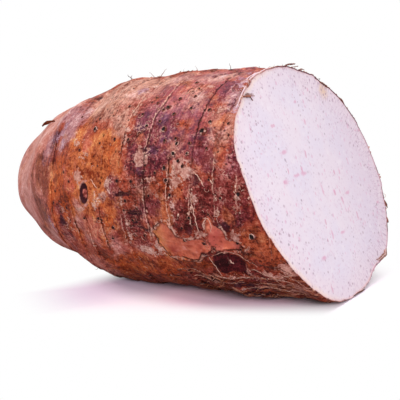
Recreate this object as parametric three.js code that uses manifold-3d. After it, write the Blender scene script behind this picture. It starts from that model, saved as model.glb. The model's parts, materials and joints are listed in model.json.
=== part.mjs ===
// Malanga: a large taro corm, cut across near its thick end and lying on its side.
// Millimetres, +Z up. The long axis runs along X, with the blunt tip at -X and the cut face towards +X.
// The corm grew as one piece, so it is one solid: a lathe form moved onto the skin, then trimmed by
// a knife and a board.

import * as THREE from "three";
import { mergeVertices } from "three/addons/utils/BufferGeometryUtils.js";
import Module from "manifold-3d";

// ---------------------------------------------------------------- driving dimensions

// The form before it is cut, measured along stations that start at the tip.
const GIRTH_RADIUS = 59.2; // half the thickness at the widest section
const SWELL_LENGTH = 210; // tip to the station where the corm stops swelling
const STOCK_LENGTH = 232; // the uncut stock, long enough for the knife to pass through
const NOSE_POWER = 2.32; // how bluntly the tip closes
const NOSE_ROOT = 1.84;
const SWELL_TAPER = -0.013; // slight thinning towards the cut end

// The centreline: the tip hangs below the thick end, and the corm bowed sideways as it grew.
const TIP_DROP = 22.3;
const TIP_DROP_POWER = 2.18;
const BOW = 18;

// Cross-section lobes, each a share of the radius, with the angle of its crest in degrees.
const LOBES = [
  { count: 2, size: 0.092, crest: 170 }, // flattened: wider than it is tall
  { count: 3, size: 0.021, crest: 13 },
  { count: 4, size: 0.018, crest: 56 },
];
const LOBE_GROWTH = 1.2; // the lobes reach their full size at 1/1.2 of the swell length
const WIDTH_FACTOR = 1.01;
const WIDTH_TAPER = -0.06;

// Leaf-scar rings: the skin rises to each ring, then steps down towards the cut end.
const RING_STATIONS = [19, 30, 41, 51, 68, 84, 95, 106, 118.5, 133, 146, 156.5, 168, 178, 190, 202];
const RING_STEP = 0.9; // height of the step, on the full girth
const RING_STEP_HALF_WIDTH = 0.9; // the step takes up this much on each side of its ring
const RING_RAMP = 1.5; // above 1, the skin stays low and lifts late between two rings
const RING_WANDER = 0.8; // how far a ring strays along the corm on its way round
const RING_WANDER_LENGTH = 17; // how fast the straying changes from ring to ring

// Slow swellings and dents of the surface: height, length along the corm, lobes around it.
const LUMPS = [
  { size: 0.5, length: 95, around: 2, phase: 3.0, turn: 0.5 },
  { size: 0.4, length: 62, around: 3, phase: 1.4, turn: 1.2 },
  { size: 0.9, length: 41, around: 5, phase: 0.9, turn: 1.6 },
  { size: 0.7, length: 30, around: 4, phase: -0.5, turn: 2.1 },
];
const RELIEF_GROWTH = 2; // rings and lumps reach their full height at half the girth

// Lateral buds: a shallow dish in the skin, with a low bud standing in it. The half sizes run along
// and around the corm, and the bud is a share of the dish.
const BUDS = [
  { station: 96, angle: 178, half: [2.9, 5.2], depth: 1.3, bud: 0.42 },
  { station: 170, angle: 211, half: [7.0, 7.5], depth: 1.4, bud: 0.3 },
  { station: 112, angle: 38, half: [3.2, 5.0], depth: 1.3, bud: 0.42 },
  { station: 74, angle: 318, half: [3.0, 4.6], depth: 1.2, bud: 0.42 },
  { station: 148, angle: 352, half: [4.0, 5.6], depth: 1.4, bud: 0.4 },
];
const DISH_LIFT = 0.1; // how far a dish's middle is above the skin
const BUD_DEPTH = 0.9; // how far a bud's middle is below the skin, as a share of its dish's depth

// The knife's plane: where it crosses the centreline's height, and how far its face leans back.
const CUT_STATION = 185.4;
const CUT_LEAN = 0.376; // rise of the plane's normal for each unit along the corm

const REST_DEPTH = 54.3; // the underside is flat this far below the thick end's centreline

const ROUND_SEGMENTS = 72;
const NOSE_ROWS = 9;
const SKIN_BROWN = 0x8a4a36;

// ---------------------------------------------------------------- the form

const radians = THREE.MathUtils.degToRad;

// Radius of the section at a station, as a share of the girth radius.
function swell(station) {
  const u = station / SWELL_LENGTH;
  const left = Math.max(0, 1 - u);
  return (1 - left ** NOSE_POWER) ** (1 / NOSE_ROOT) * (1 + SWELL_TAPER * (u - 0.6));
}

function lobes(station, angle) {
  const grown = Math.min(1, (station / SWELL_LENGTH) * LOBE_GROWTH);
  return LOBES.reduce(
    (sum, lobe) => sum + grown * lobe.size * Math.cos(lobe.count * (angle - radians(lobe.crest))),
    1,
  );
}

// Height of the skin over the plain form, from the rings: 0 just past a ring, rising to the next one.
function ringRelief(station, angle) {
  const wander = RING_WANDER * Math.sin(2 * angle + station / RING_WANDER_LENGTH);
  const here = station + wander;
  const next = RING_STATIONS.findIndex((ring) => ring > here);
  if (next < 1) return 0;
  const start = RING_STATIONS[next - 1];
  const share = (here - start) / (RING_STATIONS[next] - start);
  return RING_STEP * swell(station) * share ** RING_RAMP;
}

function lumpRelief(station, angle) {
  return LUMPS.reduce(
    (sum, lump) =>
      sum +
      lump.size *
        Math.sin((2 * Math.PI * station) / lump.length + lump.phase) *
        Math.cos(lump.around * angle - lump.turn),
    0,
  );
}

// A point of the skin. Angle 0 is towards +Y, 90 degrees is up.
function skinPoint(station, angle, lift = 0) {
  const u = station / SWELL_LENGTH;
  const rise = -TIP_DROP * Math.max(0, 1 - u) ** TIP_DROP_POWER;
  const side = BOW * 4 * (u - 0.5) ** 2;
  const fade = Math.min(1, swell(station) * RELIEF_GROWTH);
  const relief = fade * (ringRelief(station, angle) + lumpRelief(station, angle));
  const radius = GIRTH_RADIUS * swell(station) * lobes(station, angle) + relief + lift;
  const width = WIDTH_FACTOR * (1 + WIDTH_TAPER * (u - 0.6));
  return new THREE.Vector3(
    station,
    side + radius * width * Math.cos(angle),
    rise + radius * Math.sin(angle),
  );
}

// Stations of the mesh rows: close together at the tip, then two at each ring's step and one between.
function rowStations() {
  const first = RING_STATIONS[0] - RING_STEP_HALF_WIDTH;
  const rows = [];
  for (let i = 1; i < NOSE_ROWS; i++) rows.push(first * (i / NOSE_ROWS) ** 2);
  RING_STATIONS.forEach((ring, i) => {
    const next = RING_STATIONS[i + 1] ?? STOCK_LENGTH;
    rows.push(ring - RING_STEP_HALF_WIDTH, ring + RING_STEP_HALF_WIDTH, (ring + next) / 2);
  });
  rows.push(STOCK_LENGTH);
  return rows;
}

// ---------------------------------------------------------------- solids

const wasm = await Module();
wasm.setup();

function solidOf(geometry) {
  const bare = new THREE.BufferGeometry();
  bare.setAttribute("position", geometry.getAttribute("position"));
  bare.setIndex(geometry.getIndex());
  const merged = mergeVertices(bare, 1e-3);
  const index = merged.getIndex().array;
  const triVerts = [];
  for (let i = 0; i < index.length; i += 3) {
    const [a, b, c] = index.slice(i, i + 3);
    if (a !== b && b !== c && c !== a) triVerts.push(a, b, c);
  }
  return new wasm.Manifold(
    new wasm.Mesh({
      numProp: 3,
      vertProperties: merged.getAttribute("position").array,
      triVerts: new Uint32Array(triVerts),
    }),
  );
}

function geometryOf(solid) {
  const { numVert, numProp, vertProperties, triVerts } = solid.getMesh();
  const position = new Float32Array(numVert * 3);
  for (let i = 0; i < numVert; i++) {
    position.set(vertProperties.subarray(i * numProp, i * numProp + 3), i * 3);
  }
  const geometry = new THREE.BufferGeometry();
  geometry.setAttribute("position", new THREE.BufferAttribute(position, 3));
  geometry.setIndex(new THREE.BufferAttribute(triVerts, 1));
  return geometry;
}

// The uncut corm: a lathe form along the stations, with each of its points moved onto the skin.
function stock() {
  const rows = rowStations();
  const profile = [new THREE.Vector2(0, 0)];
  rows.forEach((station) => profile.push(new THREE.Vector2(GIRTH_RADIUS, station)));
  profile.push(new THREE.Vector2(0, STOCK_LENGTH));
  const lathe = new THREE.LatheGeometry(profile, ROUND_SEGMENTS);
  const position = lathe.getAttribute("position");
  for (let i = 0; i < position.count; i++) {
    const station = position.getY(i);
    const onAxis = Math.hypot(position.getX(i), position.getZ(i)) < 1;
    const angle = Math.atan2(position.getX(i), position.getZ(i));
    const point = skinPoint(station, angle);
    if (onAxis) {
      const [low, high] = [skinPoint(station, -Math.PI / 2), skinPoint(station, Math.PI / 2)];
      point.addVectors(low, high).multiplyScalar(0.5);
    }
    position.setXYZ(i, point.x, point.y, point.z);
  }
  return solidOf(lathe);
}

// A mound with a bud scar's outline, times a scale, with its middle lifted off the skin.
function moundOnSkin({ station, angle, half, depth }, scale, lift) {
  const turn = radians(angle);
  const at = skinPoint(station, turn, lift);
  const along = skinPoint(station + 1, turn).sub(skinPoint(station - 1, turn)).normalize();
  const around = skinPoint(station, turn + 0.02).sub(skinPoint(station, turn - 0.02)).normalize();
  const out = new THREE.Vector3().crossVectors(around, along).normalize();
  around.crossVectors(along, out);
  const mound = new THREE.SphereGeometry(1, 18, 10);
  mound.scale(half[1] * scale, half[0] * scale, depth);
  mound.applyMatrix4(new THREE.Matrix4().makeBasis(around, along, out).setPosition(at));
  return solidOf(mound);
}

// A box whose one face is the cutting plane, for trimming the stock.
function block(size, matrix) {
  const box = new THREE.BoxGeometry(size, size, size);
  box.translate(size / 2, 0, 0);
  box.applyMatrix4(matrix);
  return solidOf(box);
}

function knife() {
  const lean = new THREE.Matrix4().makeRotationY(-Math.atan(CUT_LEAN));
  return block(300, lean.setPosition(CUT_STATION, 0, 0));
}

function board() {
  const down = new THREE.Matrix4().makeRotationY(Math.PI / 2);
  return block(400, down.setPosition(SWELL_LENGTH / 2, 0, -REST_DEPTH));
}

function cormSolid() {
  let solid = stock();
  for (const scar of BUDS) {
    solid = solid.subtract(moundOnSkin(scar, 1, DISH_LIFT));
    solid = solid.add(moundOnSkin(scar, scar.bud, -scar.depth * BUD_DEPTH));
  }
  return solid.subtract(knife()).subtract(board());
}

// ---------------------------------------------------------------- the part

// Origin on the resting plane, under the middle of the corm's outline.
function restedAtOrigin(geometry) {
  geometry.computeBoundingBox();
  const { min, max } = geometry.boundingBox;
  return geometry.translate(-(min.x + max.x) / 2, -(min.y + max.y) / 2, -min.z);
}

const skin = new THREE.MeshStandardMaterial({ color: SKIN_BROWN, roughness: 0.72, metalness: 0 });
skin.flatShading = true;

const corm = new THREE.Mesh(restedAtOrigin(geometryOf(cormSolid())), skin);
corm.name = "corm";

const malanga = new THREE.Group();
malanga.name = "malanga";
malanga.add(corm);

export default malanga;
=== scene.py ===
# %% [markdown]
# # A cut malanga corm
# A malanga corm is a stem that has swollen underground. Its skin is a stack of dry leaf bases, each of
# which leaves a ring. This one was cut across near its thick end, so it shows pale flesh with violet
# flecks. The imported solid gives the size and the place, and this script grows the visible skin, the cut
# face, the root scars and the dry fibres over it.

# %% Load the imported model
import json
import math
from itertools import product

import bpy
import numpy as np
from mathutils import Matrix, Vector

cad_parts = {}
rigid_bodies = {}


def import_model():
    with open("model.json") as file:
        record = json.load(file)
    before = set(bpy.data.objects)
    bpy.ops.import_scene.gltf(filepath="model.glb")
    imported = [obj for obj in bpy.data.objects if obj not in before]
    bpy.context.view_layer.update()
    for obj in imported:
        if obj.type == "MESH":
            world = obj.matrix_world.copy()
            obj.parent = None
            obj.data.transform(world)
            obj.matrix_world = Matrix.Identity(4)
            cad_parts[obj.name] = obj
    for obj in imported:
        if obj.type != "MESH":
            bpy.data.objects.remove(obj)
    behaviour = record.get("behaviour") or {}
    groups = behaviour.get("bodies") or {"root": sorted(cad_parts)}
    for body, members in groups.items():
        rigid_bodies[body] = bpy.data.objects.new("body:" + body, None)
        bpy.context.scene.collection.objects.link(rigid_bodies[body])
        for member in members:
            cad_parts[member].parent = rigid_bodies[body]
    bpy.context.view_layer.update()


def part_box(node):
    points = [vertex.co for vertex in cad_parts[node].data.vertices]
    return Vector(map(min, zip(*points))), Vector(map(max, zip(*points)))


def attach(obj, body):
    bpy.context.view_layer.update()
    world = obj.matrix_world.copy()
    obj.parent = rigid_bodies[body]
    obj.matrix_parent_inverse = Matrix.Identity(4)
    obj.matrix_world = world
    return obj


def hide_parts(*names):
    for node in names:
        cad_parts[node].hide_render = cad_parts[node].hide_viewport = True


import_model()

MM = 0.001
corm_low, corm_high = (np.array(corner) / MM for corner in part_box("corm"))
print("corm box in mm:", corm_low.round(1), corm_high.round(1))

# %% [markdown]
# ## Camera
# The corm lies on its side with its cut end turned a little towards us. A long lens keeps its far end
# from shrinking. The camera comes first, so that each later step can be seen.

# %% Camera
VIEW_AZIMUTH = math.radians(32.1)
VIEW_ELEVATION = math.radians(13.5)
VIEW_DISTANCE = 519.5
VIEW_TARGET = np.array([23.05, -8.37, 39.1])
LENS = 94.5

towards_camera = np.array([
    math.sin(VIEW_AZIMUTH) * math.cos(VIEW_ELEVATION),
    -math.cos(VIEW_AZIMUTH) * math.cos(VIEW_ELEVATION),
    math.sin(VIEW_ELEVATION),
])


def aim(thing, place, target):
    """Puts a camera or a lamp at a place, looking at a target. Both are in mm."""
    thing.location = Vector(place * MM)
    thing.rotation_euler = Vector(target - place).to_track_quat("-Z", "Y").to_euler()


camera = bpy.data.objects.new("camera", bpy.data.cameras.new("camera"))
camera.data.lens = LENS
camera.data.clip_start = 0.01
bpy.context.scene.collection.objects.link(camera)
bpy.context.scene.camera = camera
aim(camera, VIEW_TARGET + towards_camera * VIEW_DISTANCE, VIEW_TARGET)
print("camera at", [round(value, 3) for value in camera.location])

# %% [markdown]
# ## Node helpers
# Every finish below is sums and masks. Writing each Math node by hand would hide the idea, so one small
# class wraps a socket and lets Python's operators add the nodes. Another adds any other kind of node.


# %% Node helpers
class Value:
    """A socket of a node tree. An operator on it adds a Math node."""

    def __init__(self, graph, socket):
        self.graph = graph
        self.socket = socket

    def math(self, operation, *others):
        return self.graph.value("ShaderNodeMath", {"operation": operation}, dict(enumerate((self, *others))))

    def __add__(self, other):
        return self.math("ADD", other)

    def __sub__(self, other):
        return self.math("SUBTRACT", other)

    def __rsub__(self, other):
        return self * -1 + other

    def __mul__(self, other):
        return self.math("MULTIPLY", other)

    __radd__ = __add__
    __rmul__ = __mul__

    def least(self, other):
        return self.math("MINIMUM", other)

    def most(self, other):
        return self.math("MAXIMUM", other)

    def size(self):
        return self.math("ABSOLUTE")

    def rise(self, low, high):
        """0 below low, 1 above high, and a smooth step between them."""
        return self.graph.value(
            "ShaderNodeMapRange", {"interpolation_type": "SMOOTHSTEP"}, {0: self, 1: low, 2: high}
        )


class Graph:
    """A node tree under construction. Settings come first, then each input, a number or a link."""

    def __init__(self, tree):
        self.tree = tree
        tree.nodes.clear()

    def node(self, kind, settings=None, inputs=None):
        made = self.tree.nodes.new(kind)
        for name, setting in (settings or {}).items():
            setattr(made, name, setting)
        for key, given in (inputs or {}).items():
            if isinstance(given, Value):
                self.tree.links.new(given.socket, made.inputs[key])
            else:
                made.inputs[key].default_value = given
        return made

    def value(self, kind, settings=None, inputs=None, output=0):
        return Value(self, self.node(kind, settings, inputs).outputs[output])


# %% Finish helpers
def colour(red, green, blue):
    """A screen colour, 0 to 255, as the linear colour that a shader takes."""
    shares = [channel / 255 for channel in (red, green, blue)]
    linear = [share / 12.92 if share <= 0.04045 else ((share + 0.055) / 1.055) ** 2.4 for share in shares]
    return (*linear, 1.0)


NOISE_ROUGHNESS = 0.55


class Finish(Graph):
    """A material's node tree, with sizes in mm."""

    def __init__(self, name):
        self.material = bpy.data.materials.new(name)
        self.material.use_nodes = True
        super().__init__(self.material.node_tree)
        metres = self.value("ShaderNodeTexCoord", output="Object")
        self.place = self.vector("SCALE", metres, {"Scale": 1 / MM})

    def vector(self, operation, first, others):
        return self.value("ShaderNodeVectorMath", {"operation": operation}, {0: first, **others})

    def length(self, vector):
        return self.value("ShaderNodeVectorMath", {"operation": "LENGTH"}, {0: vector}, "Value")

    def along(self, direction):
        """The dot product of each place, in mm, with a direction."""
        inputs = {0: self.place, 1: direction}
        return self.value("ShaderNodeVectorMath", {"operation": "DOT_PRODUCT"}, inputs, "Value")

    def part(self, vector, axis):
        """One coordinate of a vector: 0, 1 or 2."""
        return self.value("ShaderNodeSeparateXYZ", None, {0: vector}, axis)

    def field(self, name, output="Fac"):
        """What the mesh stores under this name at each of its points."""
        return self.value("ShaderNodeAttribute", {"attribute_name": name}, output=output)

    def noise(self, size, detail=3.0, where=None, shift=0.0):
        """A random field, 0 to 1 and mostly near a half, with lumps of about this size in mm."""
        settings = {"noise_dimensions": "4D"}
        inputs = {"Vector": where or self.place, "W": shift, "Scale": 1 / size, "Detail": detail}
        inputs["Roughness"] = NOISE_ROUGHNESS
        return self.value("ShaderNodeTexNoise", settings, inputs)

    def sway(self, size, reach, detail=2.0, shift=0.0, where=None):
        """A random field that swings about zero and mostly stays within this reach."""
        return (self.noise(size, detail, where=where, shift=shift) - 0.5) * (reach * 4)

    def cells(self, size, where=None):
        """Distance to the nearest of random points about this far apart, as a share of size."""
        settings = {"feature": "F1", "voronoi_dimensions": "3D"}
        inputs = {"Vector": where or self.place, "Scale": 1 / size}
        return self.value("ShaderNodeTexVoronoi", settings, inputs, "Distance")

    def mix(self, share, under, over):
        return self.value("ShaderNodeMix", {"data_type": "RGBA"}, {0: share, 6: under, 7: over}, 2)

    def shade(self, base, roughness, height=None, **constants):
        """The surface shader, with the height of its bump in mm."""
        inputs = {"Base Color": base, "Roughness": roughness, **constants}
        if height is not None:
            bump = {"Height": height, "Strength": 1.0, "Distance": MM}
            inputs["Normal"] = self.value("ShaderNodeBump", None, bump)
        surface = self.value("ShaderNodeBsdfPrincipled", None, inputs)
        self.node("ShaderNodeOutputMaterial", None, {"Surface": surface})
        return self.material


print("helpers ready")

# %% [markdown]
# ## Floor and light
# A plain white floor under a large soft sky shows the shape and leaves only a shadow where the corm
# lies. For the camera's rays alone the floor returns more light than it gets, and away from the shadow it
# turns plain white, so the background is white with no more light on the corm. Past set edges the white is
# painted over the shadow as well, under the thin end too. The shadow is painted redder near the corm and
# lilac at its thin end.

# %% Floor
FLOOR_HALF_SIZE = 3000
FLOOR_COLOUR = colour(205, 197, 205)
FLOOR_BOOST = 1.78
CONTACT_TINT = (1.14, 0.92, 0.98)  # painted: near the corm the shadow is tinted red, as the corm's own colour would tint it
THIN_END_TINT = (0.76, 0.70, 0.80)  # and the thin end of the shadow is painted lilac
SHADOW_MIDDLE, SHADOW_REACH = (45, -20, 0), (75, 62, 1)
SHADOW_EDGES = [  # direction over the floor, and mm along it where the white starts and where it is full
    ((-1, 0.32, 0), -8, 12), ((0.6, -1, 0), 68, 94),
]


def floor_finish():
    finish = Finish("floor_white")
    ray = Value(finish, finish.node("ShaderNodeLightPath").outputs["Is Camera Ray"])
    matt = finish.value("ShaderNodeBsdfDiffuse", None, {"Color": FLOOR_COLOUR})
    bright_colour = (*(channel * FLOOR_BOOST for channel in FLOOR_COLOUR[:3]), 1)
    from_middle = finish.vector("SUBTRACT", finish.place, {1: SHADOW_MIDDLE})
    from_middle = finish.vector("DIVIDE", from_middle, {1: SHADOW_REACH})
    away = finish.length(from_middle)
    to_thin_end = finish.along(SHADOW_EDGES[0][0])
    # Painted shadow colours: redder near the corm, lilac at the thin end.
    painted_red_shadow, lilac = (
        (*(channel * share for channel, share in zip(bright_colour, tint)), 1)
        for tint in (CONTACT_TINT, THIN_END_TINT)
    )
    shown_colour = finish.mix(away.rise(0.66, 0.40), bright_colour, painted_red_shadow)
    shown_colour = finish.mix(to_thin_end.rise(-46, -10), shown_colour, lilac)
    bright = finish.value("ShaderNodeBsdfDiffuse", None, {"Color": shown_colour})
    near = finish.value("ShaderNodeMixShader", None, {0: ray, 1: matt, 2: bright})
    # Painted light: past these edges the floor is painted white, over the corm's shadow too.
    white_share = away.rise(0.85, 1.5)
    for direction, start, end in SHADOW_EDGES:
        white_share = white_share.most(finish.along(direction).rise(start, end))
    white_share = white_share * ray
    plain_white = finish.value("ShaderNodeEmission", None, {"Color": (1, 1, 1, 1), "Strength": 1.0})
    both = finish.value("ShaderNodeMixShader", None, {0: white_share, 1: near, 2: plain_white})
    finish.node("ShaderNodeOutputMaterial", None, {"Surface": both})
    return finish.material


def plain_mesh(name, points, faces, finish):
    """An object at the origin whose mesh has these points, in mm."""
    mesh = bpy.data.meshes.new(name)
    mesh.from_pydata((np.asarray(points) * MM).tolist(), [], faces)
    mesh.materials.append(finish)
    made = bpy.data.objects.new(name, mesh)
    bpy.context.scene.collection.objects.link(made)
    return made


half = FLOOR_HALF_SIZE
floor_corners = [(-half, -half, 0), (half, -half, 0), (half, half, 0), (-half, half, 0)]
floor = plain_mesh("floor", floor_corners, [(0, 1, 2, 3)], floor_finish())

# %% Sky and lamps
SKY_LIGHT = 0.44
LAMPS = [  # name, place in mm, width in mm, power in W, colour
    ("key", (-250, -350, 900), 450, 4.4, (255, 250, 244)),
    ("face_fill", (480, -520, 380), 350, 2.75, (252, 249, 255)),
    ("back_top", (50, 550, 750), 500, 3.0, (255, 250, 250)),
]

world = bpy.data.worlds.new("white_sky")
bpy.context.scene.world = world
world.use_nodes = True
sky = Graph(world.node_tree)
path = sky.node("ShaderNodeLightPath")
shown = [Value(sky, path.outputs[ray]) for ray in ("Is Camera Ray", "Is Glossy Ray", "Is Transmission Ray")]
strength = shown[0].most(shown[1]).most(shown[2]) * (1 - SKY_LIGHT) + SKY_LIGHT
white = sky.value("ShaderNodeBackground", None, {"Color": (1, 1, 1, 1), "Strength": strength})
sky.node("ShaderNodeOutputWorld", None, {"Surface": white})

for name, place, width, power, tint in LAMPS:
    lamp = bpy.data.lights.new(name, "AREA")
    lamp.shape = "DISK"
    lamp.size = width * MM
    lamp.energy = power
    lamp.color = colour(*tint)[:3]
    holder = bpy.data.objects.new(name, lamp)
    bpy.context.scene.collection.objects.link(holder)
    aim(holder, np.array(place, float), VIEW_TARGET)
bpy.context.scene.view_settings.view_transform = "Standard"
print("lamps:", ", ".join(name for name, *_ in LAMPS))

# %% [markdown]
# ## The form of the corm
# A corm has a simple rule behind it. It swells from a blunt tip, its centreline bows, and its section
# is a rounded lobe. So the form is a formula of two coordinates: the station, in mm from the tip, and
# the angle round it, where 90 degrees is up. A program fitted the main dimensions, the lobes and the
# lumps to the corm's outline. The solid was grown from the same values, so the visible skin fits it with
# nothing to adjust.

# %% Driving dimensions, in mm and degrees
GIRTH_RADIUS = 59.2
SWELL_LENGTH = 210
STOCK_LENGTH = 232
NOSE_POWER, NOSE_ROOT, SWELL_TAPER = 2.32, 1.84, -0.013
TIP_DROP, TIP_DROP_POWER, BOW = 22.3, 2.18, 18
LOBES = [(2, 0.092, 170), (3, 0.021, 13), (4, 0.018, 56)]  # count, share of the radius, crest
LOBE_GROWTH, WIDTH_FACTOR, WIDTH_TAPER = 1.2, 1.01, -0.06
RINGS = [19, 30, 41, 51, 68, 84, 95, 106, 118.5, 133, 146, 156.5, 168, 178, 190, 202]
RING_STEP, RING_RAMP, RING_WANDER, RING_WANDER_LENGTH = 0.9, 1.5, 0.8, 17
LUMPS = [  # height, length along the corm, lobes round it, phase, turn
    (0.5, 95, 2, 3.0, 0.5), (0.4, 62, 3, 1.4, 1.2), (0.9, 41, 5, 0.9, 1.6), (0.7, 30, 4, -0.5, 2.1),
]
RELIEF_GROWTH = 2
CUT_STATION, CUT_LEAN, REST_DEPTH = 185.4, 0.376, 54.3


# %% The form as functions
def swell(station):
    """Radius of the section as a share of the girth radius."""
    share = station / SWELL_LENGTH
    left = np.clip(1 - share, 0, None)
    return (1 - left**NOSE_POWER) ** (1 / NOSE_ROOT) * (1 + SWELL_TAPER * (share - 0.6))


def ring_station(station, angle):
    """The station that decides where the rings fall. It strays a little on its way round."""
    return station + RING_WANDER * np.sin(2 * angle + station / RING_WANDER_LENGTH)


def ring_relief(station, angle):
    """Height of the skin from its rings: low past a ring, then rising to the next."""
    here = ring_station(station, angle)
    after = np.searchsorted(RINGS, here)
    between = (after > 0) & (after < len(RINGS))
    start = np.take(RINGS, np.clip(after - 1, 0, len(RINGS) - 1))
    end = np.take(RINGS, np.clip(after, 0, len(RINGS) - 1))
    share = np.where(between, (here - start) / np.maximum(end - start, 1), 0)
    return RING_STEP * swell(station) * np.clip(share, 0, 1) ** RING_RAMP


def lump_relief(station, angle):
    return sum(
        height * np.sin(2 * np.pi * station / length + phase) * np.cos(around * angle - turn)
        for height, length, around, phase, turn in LUMPS
    )


def skin_point(station, angle, lift=0.0):
    """A point of the skin, raised by a lift, all in mm."""
    share = station / SWELL_LENGTH
    grown = np.minimum(1, share * LOBE_GROWTH)
    lobes = 1 + sum(grown * size * np.cos(n * (angle - math.radians(crest))) for n, size, crest in LOBES)
    relief = ring_relief(station, angle) + lump_relief(station, angle)
    relief = relief * np.minimum(1, swell(station) * RELIEF_GROWTH) + lift
    radius = GIRTH_RADIUS * swell(station) * lobes + relief
    width = WIDTH_FACTOR * (1 + WIDTH_TAPER * (share - 0.6))
    side = BOW * 4 * (share - 0.5) ** 2 + radius * width * np.cos(angle)
    height = radius * np.sin(angle) - TIP_DROP * np.clip(1 - share, 0, None) ** TIP_DROP_POWER
    return np.stack(np.broadcast_arrays(station, side, height), axis=-1)


def cut_station(angle):
    """The station at which the knife crosses the skin, found by halving."""
    low, high = np.full_like(angle, SWELL_LENGTH / 2), np.full_like(angle, STOCK_LENGTH)
    for _ in range(30):
        middle = (low + high) / 2
        point = skin_point(middle, angle)
        past = point[..., 0] + CUT_LEAN * point[..., 2] > CUT_STATION
        low, high = np.where(past, low, middle), np.where(past, middle, high)
    return (low + high) / 2


# %% [markdown]
# ## A grid over the skin
# The mesh is a grid of rows and columns on that form. Rows are spaced evenly along the profile rather
# than along the axis, because the tip is steep. Each column ends exactly at the knife, so the rim of the
# cut is a clean edge.

# %% The grid
ROWS, COLUMNS = 338, 288

column_angle = np.arange(COLUMNS) * 2 * np.pi / COLUMNS
profile_station = SWELL_LENGTH * np.linspace(0, 1.1, 4000) ** 2
profile_steps = np.hypot(np.diff(profile_station), np.diff(GIRTH_RADIUS * swell(profile_station)))
profile_length = np.concatenate([[0], np.cumsum(profile_steps)])
column_length = np.interp(cut_station(column_angle), profile_station, profile_length)

row_share = np.arange(1, ROWS + 1)[:, None] / ROWS
station = np.interp(row_share * column_length, profile_length, profile_station)
angle = np.broadcast_to(column_angle, station.shape)

plain = skin_point(station, angle)
to_row_frame = np.array([corm_low[0], corm_low[1] - plain[..., 1].min(), REST_DEPTH])
print("grid", station.shape, "shift to the row frame", to_row_frame.round(2))
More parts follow.
